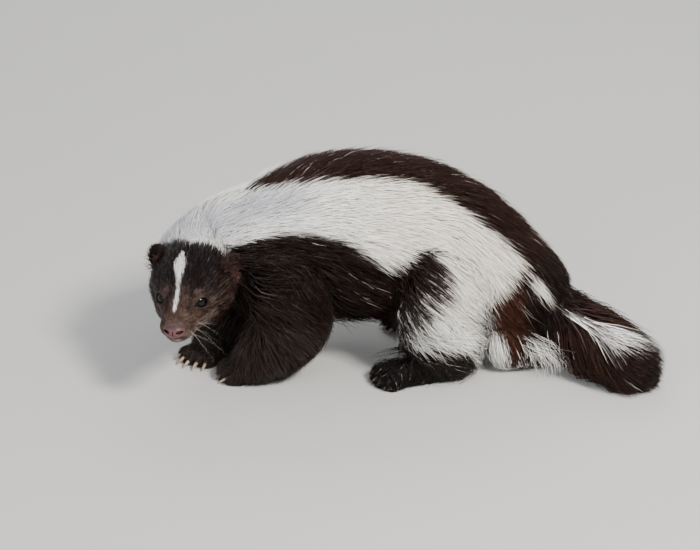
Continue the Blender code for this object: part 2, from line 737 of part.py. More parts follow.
def centre_on_floor(nodes):
    """Move all nodes so that the origin is under the middle of their box, on the floor."""
    points = [vert.co for node in nodes for vert in node.data.vertices]
    low = Vector([min(point[i] for point in points) for i in range(3)])
    high = Vector([max(point[i] for point in points) for i in range(3)])
    middle = (low + high) / 2
    for node in nodes:
        node.data.transform(Matrix.Translation((-middle.x, -middle.y, 0.0)))


def main():
    clear_scene()
    nodes = head_nodes() + body_nodes()
    centre_on_floor(nodes)
    group = bpy.data.collections.new("striped_skunk")
    bpy.context.scene.collection.children.link(group)
    for node in nodes:
        set_finish(node)
        bpy.context.scene.collection.objects.unlink(node)
        group.objects.link(node)


main()
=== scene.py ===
"""Looks of the striped skunk: one skin, its coat of mesh tufts, eyes, nose, ears, claws and whiskers.

Body coordinates are those of the solids' source: the trunk runs along X with the tail at +X, the animal's
left side is -Y and the floor is z = 0. Head coordinates: x runs back from the nose, y to the animal's left,
z up. Lengths are in metres, apart from tables inside metres(), which are in millimetres.
"""

import math
import random

import bmesh
import bpy
import numpy as np
from mathutils import Matrix, Vector
from mathutils.bvhtree import BVHTree


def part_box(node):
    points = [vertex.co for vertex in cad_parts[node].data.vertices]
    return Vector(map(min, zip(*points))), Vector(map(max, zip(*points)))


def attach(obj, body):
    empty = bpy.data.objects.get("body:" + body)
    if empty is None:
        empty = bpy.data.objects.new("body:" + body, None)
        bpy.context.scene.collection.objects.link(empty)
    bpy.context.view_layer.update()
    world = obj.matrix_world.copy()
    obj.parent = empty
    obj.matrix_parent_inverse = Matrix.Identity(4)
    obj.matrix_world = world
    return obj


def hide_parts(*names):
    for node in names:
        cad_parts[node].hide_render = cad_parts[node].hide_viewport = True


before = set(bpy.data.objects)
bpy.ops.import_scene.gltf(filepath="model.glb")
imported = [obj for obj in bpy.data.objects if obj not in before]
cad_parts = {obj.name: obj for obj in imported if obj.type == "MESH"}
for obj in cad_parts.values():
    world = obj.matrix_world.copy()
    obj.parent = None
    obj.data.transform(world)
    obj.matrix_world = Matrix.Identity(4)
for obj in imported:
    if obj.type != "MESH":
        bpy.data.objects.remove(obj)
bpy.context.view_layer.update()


def metres(values):
    """The same nested tuples in metres, out of millimetres."""
    if isinstance(values, (int, float)):
        return values / 1000
    return tuple(metres(value) for value in values)


# The forms. A station is a centre, a half width, a half height and the depth of the coat there.
TRUNK = metres([
    ((-106, 4, 80), 22, 26, 6),
    ((-96, 2, 81), 32, 36, 8),
    ((-75, -1, 83), 42, 44, 9),
    ((-48, 2, 87), 46, 48, 10),
    ((-15, 4, 89), 49, 50, 10),
    ((20, 1, 86), 50, 48, 10),
    ((52, -9, 76), 48, 44, 10),
    ((80, -23, 62), 40, 37, 10),
    ((103, -37, 52), 28, 27, 10),
    ((118, -46, 46), 18, 18, 10),
])
NECK = metres([
    ((-70, 0, 87), 38, 40, 8),
    ((-94, 3, 85), 33, 36, 8),
    ((-113, 5, 81), 26, 32, 6),
    ((-127, -4, 78), 23, 28, 5),
    ((-134, -22, 75), 20, 23, 3),
])
TAIL = metres([
    ((100, -38, 50), 18, 18, 12),
    ((118, -46, 43), 14, 14, 18),
    ((134, -56, 32), 12, 12, 18),
    ((149, -70, 22), 11, 10, 16),
    ((162, -84, 16), 10, 9, 14),
    ((173, -97, 12), 8, 7, 10),
    ((181, -107, 9), 4, 4, 6),
])
CURTAIN = metres([
    ((99, -40, 62), 19, 11, 8),
    ((99.5, -46, 44), 21, 10, 9),
    ((100, -51, 27), 22, 9, 9),
    ((100.5, -55, 13), 21, 7, 8),
])
SIDES = {1: "left", -1: "right"}
HEAD_NOSE = Vector((-0.1530, -0.0850, 0.0655))
HEAD_YAW = math.radians(19.0)
HEAD_PITCH = math.radians(7.0)
HEAD_ROLL = math.radians(-2.0)
HEAD = metres([
    ((3, 0, 0.5), 6.8, 6.2, 0.4),
    ((9, 0, 0), 9.8, 9, 0.6),
    ((17, 0, 0.8), 12, 11.8, 1),
    ((26, 0, 2.4), 14.8, 14.2, 1.4),
    ((36, 0, 4.2), 19.2, 17.8, 1.8),
    ((48, 0, 5.8), 22.5, 20.8, 2.6),
    ((60, 0, 6.2), 23.2, 22.8, 3.4),
    ((72, 0, 5.6), 22.5, 22.8, 4),
    ((83, 0, 4), 20.5, 20.8, 4.8),
    ((91, 0, 3), 15, 16, 5),
])
CHIN = metres(((18, 0, -9.5), (15, 8.5, 5.2)))
HEAD_PAIRS = metres([
    ((11, 6, -2.8), (9.5, 5.6, 5.8)),
    ((34, 9.8, 14.2), (9.5, 6.2, 4.8)),
    ((50, 9, -7), (24, 12.5, 12)),
    ((59, 13.5, -2), (20, 11.5, 14)),
])
EYE_CENTRE = Vector((0.0268, 0.0118, 0.0086))
EYE_RADIUS = 0.0052
EYE_AXIS = Vector((-0.66, 0.70, 0.27)).normalized()
EYE_POLE = EYE_CENTRE + EYE_AXIS * EYE_RADIUS
EYE_GAP = 0.0001
LID_GAP = 0.0003
LID_THICKNESS = 0.0009
LID_CUT = 0.9
LID_OPENING = (0.0043, 0.0034)
LID_RIM = 0.0047
LID_SOFTNESS = 0.0009
LID_STRETCH = (1.20, 0.80)
LID_REACH = 0.008
EAR_CENTRES = {1: Vector((0.0620, 0.0276, 0.0118)), -1: Vector((0.0640, 0.0222, 0.0124))}
EAR_RADII = (0.0054, 0.0094, 0.0114)
EAR_WALL = 0.0015
EAR_HOLLOW = 0.75
EAR_FOLD = metres(((-0.4, -6, -3.5), (2.2, 2, 4.8)))
EAR_VOXEL = 0.00035
EAR_OUTWARD = math.radians(33.0)
EAR_LEAN = math.radians(12.0)
NOSE_CENTRE = Vector((0.0010, 0.0, 0.0002))
NOSE_RADII = (0.0058, 0.0075, 0.0050)
NOSE_VOXEL = 0.00018
NOSE_UPPER = (0.50, 0.25)
NOSE_DEEP = (0.93, 0.035)
NOSTRIL_CENTRE = Vector((-0.0028, 0.0045, 0.0010))
NOSTRIL_RADII = (0.0034, 0.0015, 0.0012)
NOSTRIL_TURN = math.radians(35.0)
SLIT_OFFSET = Vector((0.0012, 0.0022, -0.0004))
SLIT_RADII = (0.0030, 0.0016, 0.0005)
NOSE_GROOVE_RADII = (0.0010, 0.0003, 0.0036)
MOUTH = metres([(2, 0, -7.8), (7, 6, -7.8), (13.5, 8.8, -7.8),
                (21.5, 11, -7.8), (30, 13.8, -6.6)])
MOUTH_GROOVE = 0.0006
LIP = 0.0018
LEGS = {
    "foreleg_left": metres([
        ((-72, -30, 82), 22, 26, 6),
        ((-66, -38, 62), 20, 24, 7),
        ((-66, -42, 45), 18, 18, 7),
        ((-75, -41, 31), 15.5, 15, 5),
        ((-85, -38, 18), 12.5, 12, 3.4),
        ((-93, -36, 9.5), 11.8, 9.5, 1.8),
        ((-100, -34, 6.8), 10.8, 7, 1),
    ]),
    "foreleg_right": metres([
        ((-92, 26, 80), 22, 26, 9),
        ((-86, 30, 60), 19, 22, 10),
        ((-90, 27, 42), 16, 16, 9),
        ((-99, 20, 29), 13, 13, 7),
        ((-110, 11, 18), 11.5, 11, 4.8),
        ((-118, 4, 9.5), 11.5, 9.5, 1.6),
        ((-125, -2, 6.8), 10.5, 7, 1),
    ]),
    "hindleg_left": metres([
        ((54, -36, 70), 30, 36, 8),
        ((42, -45, 54), 25, 33, 9),
        ((37, -51, 38), 19, 24, 8),
        ((46, -54.5, 24), 13.5, 16, 5),
        ((47, -55.5, 12.5), 11.2, 10.8, 2.2),
        ((31, -56.5, 8.5), 11.2, 8.5, 1.2),
        ((15, -58, 6.5), 11.5, 6.6, 0.8),
        ((6, -59.2, 5.8), 10.4, 5.8, 0.6),
    ]),
    "hindleg_right": metres([
        ((74, 2, 68), 29, 34, 8),
        ((72, 14, 52), 24, 30, 8),
        ((66, 22, 37), 18, 22, 7),
        ((73, 23, 24), 13, 15, 5),
        ((73, 22.5, 12.5), 11.2, 10.8, 2.2),
        ((56, 24, 8.5), 11.2, 8.5, 1.2),
        ((38, 25.5, 6.5), 11.5, 6.6, 0.8),
        ((28, 26, 5.8), 10.4, 5.8, 0.6),
    ]),
}
TOES = 5
TOE_SPACING = 0.0046
TOE_RADII = (0.0068, 0.0031, 0.0042)
TOE_FAN = 0.14
TOE_REACH = 0.0075
TOE_CURVE = 0.0011
TOE_CLEAR = 0.0004
CLAW_RADIUS = 0.0014
CLAW_LENGTH = {"foreleg": 0.0105, "hindleg": 0.0075}
CLAW_START = (0.0025, 0.0008)
CLAW_HEIGHTS = (0.0034, 0.0012)
CLAW_STATIONS = [(0.0, 1.0, 1.1), (0.60, 0.8, 0.9), (1.0, 0.22, 0.22)]
WHISKERS_A_SIDE = 11
WHISKER_RADIUS = 0.000042
WHISKER_TAPER = 0.85
WHISKER_SAG = 0.18
WHISKER_SPANS = 4
WHISKER_ROOT = metres((5.0, 9.5, -1.0))
WHISKER_STEPS = metres((1.6, -2.2))
WHISKER_ROWS = 4
WHISKER_AIMS = [(0.0, 1.0), (0.5, 1.0), (-1.1, 0.15)]
WHISKER_LENGTHS = (0.014, 0.030)

# The skin: voxel, rounds of smoothing and triangles. How its UV map is cut and kept inside the square.
SKIN_FORM = (0.00095, 4, 110000)
UV_ANGLE = math.radians(66.0)
UV_GAP = 0.002
UV_MARGIN = 0.004

# The lie of the coat: how fast a form's pull fades, and how far the hair falls on the forms' sides.
LIE_NEAR = 0.0012
LIE_POWER = 4
RING_LEAST = 0.05
TRUNK_FALL = 0.35
TAIL_FALL = 1.1
TAIL_FALL_FADE = 1.6
HAUNCH_SWEEP = 1.2
HAUNCH_FADE = 5.0
CURTAIN_FLOW = (0.33, -0.08, -1.0)
CHUNK = 4000
TRUNK_LENGTH = 0.25
FAR = 9.0

# Tufts: how many, and how long and wide for the depth of the coat. A spread is a least and a greatest share.
TUFTS = 84000
TUFT_SEGMENTS = 3
TUFT_SIDES = 3
TUFT_PROFILE = (0.75, 1.0, 0.62)
TUFT_FLATNESS = 0.55
TUFT_LENGTH = 2.9
TUFT_LEAST = 0.0016
TUFT_WIDTHS = [(0.0006, 0.00042), (0.0040, 0.0007), (0.0100, 0.00105)]
TUFT_DENSITY = [(0.0005, 2.6), (0.0014, 2.2), (0.0035, 1.5), (0.0060, 1.0), (0.0100, 0.85), (0.018, 1.35)]
LENGTH_SPREAD = (0.78, 1.2)
HEIGHT_SPREAD = (0.85, 1.20)
WIDTH_SPREAD = (0.75, 1.2)
RISE_CURVES = (1.25, 1.9)
SOLE_HEIGHT = 0.0025
SOLE_DOWN = -0.5
UNDERSIDE_DOWN = -0.75
UNDERSIDE_SHARE = 0.6
BARE_NOSE = 0.0005
BARE_EYE = 0.0008
BARE_LID = 0.0003
EYE_REACH = 0.012
EYE_COAT_LEAST = 0.35
BACK_ANGLE = 30.0
BACK_SHARES = (0.15, 0.6)
BACK_LENGTH = 0.78
TAIL_LENGTH = 0.079
TAIL_END_HAIR = 0.0018
TAIL_HEIGHT_FADE = 0.038
TAIL_HEIGHT_LEAST = 0.20
GUARD_SHARE = 0.10
GUARD_LENGTH = 1.12
GUARD_HEIGHT = 1.22
GUARD_WIDTH = 0.6
CHEEK_FLUFF = 0.0042
EAR_FLUFF = 0.0022
FLUFF_CENTRE = (0.050, 0.0, 0.002)
FLUFF_PUSH = (1.1, 0.5)
FLUFF_CHEEK = ((0.040, 0.012), (0.011, 0.006), (0.010, 0.012), (0.092, 0.006))
FLUFF_EAR = ((0.019, 0.006), (0.064, 0.004))
FLOW_NOISE = 0.09
CURTAIN_NOISE = 0.07
WIND = 0.16
WIND_SIZE = 0.030
SINK_LEAST = 0.05
FLOOR_HAIR = 0.003
FLOOR_CLEAR = 0.0004
ROOT_DEPTH = 0.0006
OVERHANG = (0.002, 0.004)
OVERHANG_DROP = 0.7
CLUMP_CELL = (0.0016, 0.36)
CLUMP_PULL = (0.15, 0.50)
CLUMP_SHAKE = 0.35
CLUMP_CURVE = 1.3
CURTAIN_PULL = 0.5
CELL_KEYS = (73856093, 19349663, 83492791)
STRAND_NOISE = 0.42
STRAND_WAVES = 0.3
STRAND_WAVE_SIZE = 0.008
TONES = (0.5, 0.22, 0.28)
NOISE_WAVES = 10
NOISE_RATE = 0.55
NOISE_RANGE = 4.2
SKIN_NOISE = 0.5
SKIN_NOISE_SIZE = 0.006
SKIN_SHADING = (0.22, 0.62)
HAIR_TILT = 0.22
WHITE_ROOT = 0.7
PIECE_TUFTS = 12000
PATCH = 0.0014
PATCH_TAPER = 0.27

# Wisps over the root of the tail. A pair is a least and a spread.
WISPS = 60
WISP_WIDTH = 0.00020
WISP_X = (0.096, 0.012)
WISP_Y = -0.068
WISP_Z = (0.018, 0.016)
WISP_REACH = (0.006, 0.019)
WISP_END = (0.003, 0.008)
WISP_TURN = (92.0, -98.0)
WISP_OUT = 0.0125
WISP_OUT_RATE = 1.5
WISP_TONES = (0.2, 0.8)

# Hair of the ears. The chances are those deep in the cup, on its inner side and on its back.
EAR_TUFTS = 4200
EAR_TUFT_WIDTH = 0.00044
EAR_CHANCES = (0.12, 0.5, 1.0)
EAR_DEEP = 0.84
EAR_DEEP_LENGTH = 0.5
EAR_FACING = 0.15
EAR_LENGTHS = (0.0044, 0.0074)
EAR_RISE = 0.0022
EAR_ROOT_DEPTH = 0.0002
EAR_FLOW_SCALE = (0.6, 0.7, 0.9)
EAR_FLOW_SHIFT = (0.004, 0.0, 0.004)
EAR_FLOW_NOISE = 0.002
EAR_TONES = (0.3, 0.7)

SEEDS = {"skin": 3, "strands": 5, "roots": 11, "coat": 12, "clumps": 13, "wind": 20, "whiskers": 31,
         "ears": 40, "wisps": 51}

# Colours, linear.
BLACK_BROWN = (0.0095, 0.0044, 0.0034)
RED_BROWN = (0.070, 0.024, 0.013)
MUZZLE_BROWN = (0.122, 0.070, 0.053)
FROSTED = (0.165, 0.112, 0.092)
WHITE = (0.93, 0.91, 0.875)
CREAM = (0.86, 0.78, 0.66)
SHADED_WHITE = (0.46, 0.475, 0.52)
FOOT_BLACK = (0.012, 0.008, 0.007)
LID_BLACK = (0.006, 0.004, 0.004)
EAR_INSIDE = (0.150, 0.073, 0.062)
# The ears' outsides: one colour, painted lighter on the left ear and darker on the right, painted light and
# shade.
EAR_OUTSIDE_LIT_AND_SHADED = {1: (0.042, 0.021, 0.016), -1: (0.018, 0.009, 0.007)}
BROW = (0.17, 0.11, 0.10)
# Painted highlight: the grey of a few dark strands, standing in for glints of light.
GLINT = (0.13, 0.12, 0.12)
LIP_FROST = (0.30, 0.23, 0.19)
NOSE_PINK = (0.130, 0.048, 0.053)
NOSE_TOP = (0.062, 0.034, 0.032)
NOSTRIL_PAINTED_SHADE = (0.010, 0.004, 0.004)
EYE_COLOURS = ((0.006, 0.003, 0.002), (0.002, 0.001, 0.001))
CLAW_COLOURS = ((0.42, 0.31, 0.23), (0.24, 0.16, 0.11))
WHISKER_COLOURS = ((0.60, 0.58, 0.55), (0.42, 0.40, 0.37))
FLOOR_COLOURS = ((0.60, 0.59, 0.57), (0.57, 0.56, 0.54))
SKY = (0.92, 0.95, 1.0, 1.0)
SKY_STRENGTH = 0.60


def spline(values, share):
    """A point of the Catmull-Rom curve through equal-length tuples, share from 0 to 1."""
    spans = len(values) - 1
    at = min(max(share, 0.0), 1.0) * spans
    i = min(int(at), spans - 1)
    t = at - i
    p1, p2 = values[i], values[i + 1]
    p0 = values[i - 1] if i else [2 * a - b for a, b in zip(p1, p2)]
    p3 = values[i + 2] if i + 2 <= spans else [2 * b - a for a, b in zip(p1, p2)]
    return [
        0.5 * (2 * b + (c - a) * t + (2 * a - 5 * b + 4 * c - d) * t**2 + (3 * b - a - 3 * c + d) * t**3)
        for a, b, c, d in zip(p0, p1, p2, p3)
    ]


# Lofts: the side that is kept up, the step that gives a direction, and how far a pole stands out.
UPRIGHT = Vector((0.0, 0.02, 1.0))
SPLINE_STEP = 0.01
POLE = 0.6


def section(stations, at):
    """Centre, direction, sideways and upward half axes and coat of a loft at a share of its length."""
    flat = [[*centre, wide, high, coat] for centre, wide, high, coat in stations]
    x, y, z, wide, high, coat = spline(flat, at)
    ahead, behind = Vector(spline(flat, at + SPLINE_STEP)[:3]), Vector(spline(flat, at - SPLINE_STEP)[:3])
    along = (ahead - behind).normalized()
    side = along.cross(UPRIGHT).normalized()
    return Vector((x, y, z)), along, side * wide, side.cross(along) * high, coat


def object_of(name, mesh):
    item = bpy.data.objects.new(name, mesh)
    bpy.context.scene.collection.objects.link(item)
    return item


def object_of_bmesh(name, mesh):
    mesh.normal_update()
    bmesh.ops.recalc_face_normals(mesh, faces=mesh.faces)
    data = bpy.data.meshes.new(name)
    mesh.to_mesh(data)
    mesh.free()
    return object_of(name, data)


def remove(item):
    bpy.data.objects.remove(item, do_unlink=True)


def loft(name, stations, rings, sides, power=2.0):
    """A closed tube of elliptical sections along the stations, with a pole at each end."""
    mesh = bmesh.new()
    rows = []
    for r in range(rings + 1):
        centre, along, side, lift, _ = section(stations, r / rings)
        row = []
        for s in range(sides):
            c, d = math.cos(2 * math.pi * s / sides), math.sin(2 * math.pi * s / sides)
            swell = (abs(c) ** power + abs(d) ** power) ** (-1 / power)
            row.append(mesh.verts.new(centre + (side * c + lift * d) * swell))
        rows.append(row)
        if r in (0, rings):
            pole = mesh.verts.new(centre + along * (POLE * lift.length) * (1 if r else -1))
            for s in range(sides):
                mesh.faces.new((row[s], row[(s + 1) % sides], pole))
    for one, two in zip(rows, rows[1:]):
        for s in range(sides):
            n = (s + 1) % sides
            mesh.faces.new((one[s], one[n], two[n], two[s]))
    return object_of_bmesh(name, mesh)


def ball(name, centre, radii, turn=None, *, segments):
    """An ellipsoid with its size and turn in the mesh."""
    mesh = bmesh.new()
    bmesh.ops.create_uvsphere(mesh, u_segments=segments, v_segments=segments // 2, radius=1.0)
    mesh.transform(Matrix.Translation(centre) @ (turn or Matrix()).to_4x4() @ Matrix.Diagonal((*radii, 1.0)))
    return object_of_bmesh(name, mesh)


def applied(item):
    """The object with its modifiers made real."""
    bpy.context.view_layer.update()
    graph = bpy.context.evaluated_depsgraph_get()
    mesh = bpy.data.meshes.new_from_object(item.evaluated_get(graph))
    item.modifiers.clear()
    item.data = mesh
    return item


def boolean(item, other, operation):
    """Cut or join with a closed object, which is then removed."""
    change = item.modifiers.new("boolean", "BOOLEAN")
    change.operation = operation
    change.solver = "MANIFOLD"
    change.object = other
    applied(item)
    remove(other)
    return item


def largest(item):
    """Keep only the largest connected part of the mesh."""
    mesh = bmesh.new()
    mesh.from_mesh(item.data)
    left = set(mesh.verts)
    shells = []
    while left:
        stack = [left.pop()]
        shell = set(stack)
        while stack:
            for edge in stack.pop().link_edges:
                for vert in edge.verts:
                    if vert in left:
                        left.remove(vert)
                        shell.add(vert)
                        stack.append(vert)
        shells.append(shell)
    shells.sort(key=len)
    for shell in shells[:-1]:
        bmesh.ops.delete(mesh, geom=list(shell), context="VERTS")
    bmesh.ops.triangulate(mesh, faces=mesh.faces)
    mesh.to_mesh(item.data)
    mesh.free()
    return item


def smoothed(item, voxel, rounds):
    """The object as an even mesh of small squares, smoothed."""
    remesh = item.modifiers.new("remesh", "REMESH")
    remesh.mode = "VOXEL"
    remesh.voxel_size = voxel
    smooth = item.modifiers.new("smooth", "SMOOTH")
    smooth.iterations = rounds
    return applied(item)


def joined(name, items):
    """One object in place of the items."""
    mesh = bmesh.new()
    for item in items:
        mesh.from_mesh(item.data)
        remove(item)
    return object_of_bmesh(name, mesh)


def blended(name, pieces, voxel, rounds, triangles):
    """One smooth closed form out of overlapping pieces, with about the given number of triangles."""
    form = smoothed(joined(name, pieces), voxel, rounds)
    if triangles < 2 * len(form.data.polygons):
        fewer = form.modifiers.new("fewer", "DECIMATE")
        fewer.ratio = triangles / (2 * len(form.data.polygons))
        applied(form)
    return largest(form)


def head_frame():
    """Head coordinates to body coordinates."""
    level = Vector((-math.sin(HEAD_YAW), -math.cos(HEAD_YAW), 0.0))
    forward = level * math.cos(HEAD_PITCH) - Vector((0.0, 0.0, math.sin(HEAD_PITCH)))
    left = Vector((0.0, 0.0, 1.0)).cross(forward).normalized()
    turn = Matrix((-forward, left, forward.cross(left))).transposed()
    return Matrix.Translation(HEAD_NOSE) @ (Matrix.Rotation(HEAD_ROLL, 3, forward) @ turn).to_4x4()


HEAD_FRAME = head_frame()
HEAD_TURN = np.array(HEAD_FRAME.to_3x3())


def in_head(item):
    """Move a form out of head coordinates, which are left-handed, and turn its faces out again."""
    item.data.transform(HEAD_FRAME)
    item.data.flip_normals()
    return item


def head_coordinates(points):
    return (points - np.array(HEAD_NOSE)) @ HEAD_TURN


def on_side(point, side):
    return Vector((point[0], point[1] * side, point[2]))


def on_both_sides(point):
    return [on_side(point, side) for side in SIDES]


def facing(axis):
    """The turn that takes x to the axis and keeps z upright."""
    across = Vector((0.0, 0.0, 1.0)).cross(axis).normalized()
    return Matrix((axis, across, axis.cross(across))).transposed()


def mouth_line(rise):
    left = [Vector(point) for point in MOUTH]
    right = [on_side(point, -1) for point in MOUTH[:0:-1]]
    return [point + Vector((0.0, 0.0, rise)) for point in right + left]


def tree_of(item):
    return BVHTree.FromPolygons([v.co for v in item.data.vertices], [p.vertices for p in item.data.polygons])


def head_pieces():
    pieces = [loft("skull", HEAD, rings=48, sides=48, power=2.2), ball("chin", *CHIN, segments=32)]
    lid = EYE_RADIUS + LID_GAP + LID_THICKNESS
    for side in SIDES:
        for centre, radii in HEAD_PAIRS:
            pieces.append(ball("form", on_side(centre, side), radii, segments=32))
        pieces.append(ball("lids", on_side(EYE_CENTRE, side), (lid, lid, lid), segments=32))
    for rise in (LIP, -LIP):
        stations = [(point + Vector((LIP, 0.0, 0.0)), LIP, LIP, 0.0) for point in mouth_line(rise)]
        pieces.append(loft("lip", stations, rings=32, sides=12))
    return [in_head(piece) for piece in pieces]


def toes_of(name):
    """Place, direction and turn of each toe, fanned out from the end of the foot."""
    end = Vector(LEGS[name][-1][0])
    ahead = end - Vector(LEGS[name][-3][0])
    ahead.z = 0.0
    ahead.normalize()
    across = Vector((-ahead.y, ahead.x, 0.0))
    toes = []
    for i in range(TOES):
        out = i - (TOES - 1) / 2
        aim = (ahead + across * out * TOE_FAN).normalized()
        place = end + across * out * TOE_SPACING + aim * (TOE_REACH - TOE_CURVE * out * out)
        place.z = TOE_RADII[2] + TOE_CLEAR
        toes.append((place, aim, facing(aim)))
    return toes


def skin_pieces():
    pieces = [
        loft("trunk", TRUNK, rings=48, sides=48),
        loft("neck", NECK, rings=24, sides=40),
        loft("tail", TAIL, rings=32, sides=32),
        loft("curtain", CURTAIN, rings=20, sides=24),
    ]
    for name, stations in LEGS.items():
        pieces.append(loft(name, stations, rings=40, sides=32))
        for place, _, turn in toes_of(name):
            pieces.append(ball("toe", place, TOE_RADII, turn, segments=16))
    return pieces + head_pieces()


def eye_turns():
    for side, name in SIDES.items():
        axis = on_side(EYE_AXIS, side)
        yield name, on_side(EYE_CENTRE, side), facing(axis), axis


def make_skin():
    """One skin over the whole body, with sockets, lids and the line of the mouth, cut off at the floor."""
    skin = blended("skin", skin_pieces(), *SKIN_FORM)
    tree = tree_of(skin)
    line = [tree.find_nearest(HEAD_FRAME @ point)[0] for point in mouth_line(0.0)]
    stations = [(point, MOUTH_GROOVE, MOUTH_GROOVE, 0.0) for point in line]
    boolean(skin, loft("groove", stations, rings=48, sides=8), "DIFFERENCE")
    reach = EYE_RADIUS + EYE_GAP
    opening = (EYE_RADIUS * LID_CUT, *LID_OPENING)
    for _, centre, turn, axis in eye_turns():
        socket = ball("socket", centre, (reach, reach, reach), turn, segments=40)
        boolean(skin, in_head(socket), "DIFFERENCE")
        gap = ball("opening", centre + axis * EYE_RADIUS, opening, turn, segments=40)
        boolean(skin, in_head(gap), "DIFFERENCE")
    floor_cut = bmesh.new()
    bmesh.ops.create_cube(floor_cut, size=1.0)
    floor_cut.transform(Matrix.Translation((0.0, 0.0, -0.5)))
    boolean(skin, object_of_bmesh("under", floor_cut), "DIFFERENCE")
    return largest(skin)


def numbers(collection, name, width=1, kind=float):
    """One property of all members of a mesh's collection, as an array."""
    flat = np.zeros(width * len(collection), kind)
    collection.foreach_get(name, flat)
    return flat.reshape(-1, width) if width > 1 else flat


def unwrapped(item):
    """A UV map named OFBake by smart projection, kept a little inside the square."""
    layer = item.data.uv_layers.new(name="OFBake")
    item.data.uv_layers.active = layer
    bpy.context.view_layer.objects.active = item
    for other in bpy.context.selected_objects:
        other.select_set(False)
    item.select_set(True)
    bpy.ops.object.mode_set(mode="EDIT")
    bpy.ops.mesh.select_all(action="SELECT")
    bpy.ops.uv.smart_project(angle_limit=UV_ANGLE, island_margin=UV_GAP)
    bpy.ops.object.mode_set(mode="OBJECT")
    item.select_set(False)
    layer = item.data.uv_layers["OFBake"]
    spread = numbers(layer.data, "uv", 2, np.float32) * (1.0 - 2.0 * UV_MARGIN) + UV_MARGIN
    layer.data.foreach_set("uv", spread.ravel())
    return spread


# Where each form of the body runs, for the lie and the depth of the coat.

def form_samples():
    """Samples along every form: centre, flow of the hair, both axes, half sizes, coat, fall and form."""
    skull = [(tuple(HEAD_FRAME @ Vector(centre)), wide, high, coat) for centre, wide, high, coat in HEAD]
    forms = [("trunk", TRUNK, 1, 0.6, 60), ("neck", NECK, -1, 0.30, 20), ("tail", TAIL, 1, 0.22, 30),
             ("curtain", CURTAIN, 1, 0.0, 16), ("skull", skull, 1, 0.10, 40)]
    forms += [(name, stations, 1, 0.0, 30) for name, stations in LEGS.items()]
    rows, names, shares = [], [], []
    for index, (name, stations, way, fall, count) in enumerate(forms):
        for i in range(count + 1):
            at = i / count
            centre, along, side, lift, coat = section(stations, at)
            if name.startswith("hindleg"):
                along = along + Vector((HAUNCH_SWEEP * max(1.0 - HAUNCH_FADE * at, 0.0), 0.0, 0.0))
            turned = fall
            if name == "trunk":
                turned = fall * (TRUNK_FALL + at)
            if name == "tail":
                turned = max(TAIL_FALL * (1.0 - TAIL_FALL_FADE * at), fall)
            rows.append([*centre, *(along * way), *side.normalized(), *lift.normalized(),
                         side.length, lift.length, coat, turned, index])
            shares.append(at)
        names.append(name)
    return np.array(rows), names, np.array(shares)


SAMPLES, FORM_NAMES, SHARES = form_samples()


def lie_of(points):
    """Flow of the hair, depth of the coat, form and share along it for each point near the skin."""
    flows = np.zeros_like(points)
    coats = np.zeros(len(points))
    forms = np.zeros(len(points), int)
    shares = np.zeros(len(points))
    for start in range(0, len(points), CHUNK):
        part = points[start:start + CHUNK]
        q = part[:, None, :] - SAMPLES[None, :, 0:3]
        along = np.einsum("nmk,mk->nm", q, SAMPLES[:, 3:6])
        sideways = np.einsum("nmk,mk->nm", q, SAMPLES[:, 6:9])
        upward = np.einsum("nmk,mk->nm", q, SAMPLES[:, 9:12])
        wide, high = SAMPLES[:, 12], SAMPLES[:, 13]
        ring = np.sqrt((sideways / wide) ** 2 + (upward / high) ** 2)
        off = np.abs(ring - 1.0) * np.minimum(wide, high) + np.abs(along)
        weight = 1.0 / (off + LIE_NEAR) ** LIE_POWER
        total = weight.sum(axis=1)
        c = (sideways / wide) / np.maximum(ring, RING_LEAST)
        turned = np.where(upward > 0.0, c * c, 1.0) * SAMPLES[:, 15]
        flow = weight @ SAMPLES[:, 3:6]
        flow[:, 2] -= (weight * turned).sum(axis=1)
        nearest = off.argmin(axis=1)
        stop = start + len(part)
        flows[start:stop] = flow / total[:, None]
        coats[start:stop] = (weight @ SAMPLES[:, 14]) / total
        forms[start:stop] = SAMPLES[nearest, 16].astype(int)
        shares[start:stop] = SHARES[nearest]
    return flows, coats, forms, shares


def trunk_place(points):
    """Share along the trunk, and degrees from the middle of the back: positive on the animal's left side."""
    rows = SAMPLES[SAMPLES[:, 16] == 0]
    share = SHARES[SAMPLES[:, 16] == 0]
    at = np.zeros(len(points))
    angle = np.zeros(len(points))
    for start in range(0, len(points), CHUNK):
        part = points[start:start + CHUNK]
        q = part[:, None, :] - rows[None, :, 0:3]
        nearest = (q ** 2).sum(axis=2).argmin(axis=1)
        picked = q[np.arange(len(part)), nearest]
        row = rows[nearest]
        stop = start + len(part)
        at[start:stop] = share[nearest] + (picked * row[:, 3:6]).sum(axis=1) / TRUNK_LENGTH
        angle[start:stop] = np.degrees(np.arctan2(
            (picked * row[:, 6:9]).sum(axis=1), (picked * row[:, 9:12]).sum(axis=1)))
    return at, angle


def soft(value, width):
    """0 below -width, 1 above width, smooth between."""
    t = np.clip(value / (2.0 * width) + 0.5, 0.0, 1.0)
    return t * t * (3.0 - 2.0 * t)


def below(value, fade):
    """1 below the fade's place and 0 above it. A fade is a place and a width."""
    return soft(fade[0] - value, fade[1])


def above(value, fade):
    return soft(value - fade[0], fade[1])


def to_segment(points, a, b):
    """Distance of each point from a segment, and the share along it."""
    t = np.clip(((points - a) @ (b - a)) / ((b - a) @ (b - a)), 0.0, 1.0)
    return np.linalg.norm(points - (a + t[:, None] * (b - a)), axis=1), t


def from_line(points, line):
    """Distance of each point from a line of points, and the share along it."""
    best = np.full(len(points), FAR)
    share = np.zeros(len(points))
    line = np.array(line)
    for i in range(len(line) - 1):
        far, t = to_segment(points, line[i], line[i + 1])
        closer = far < best
        best[closer] = far[closer]
        share[closer] = (i + t[closer]) / (len(line) - 1)
    return best, share


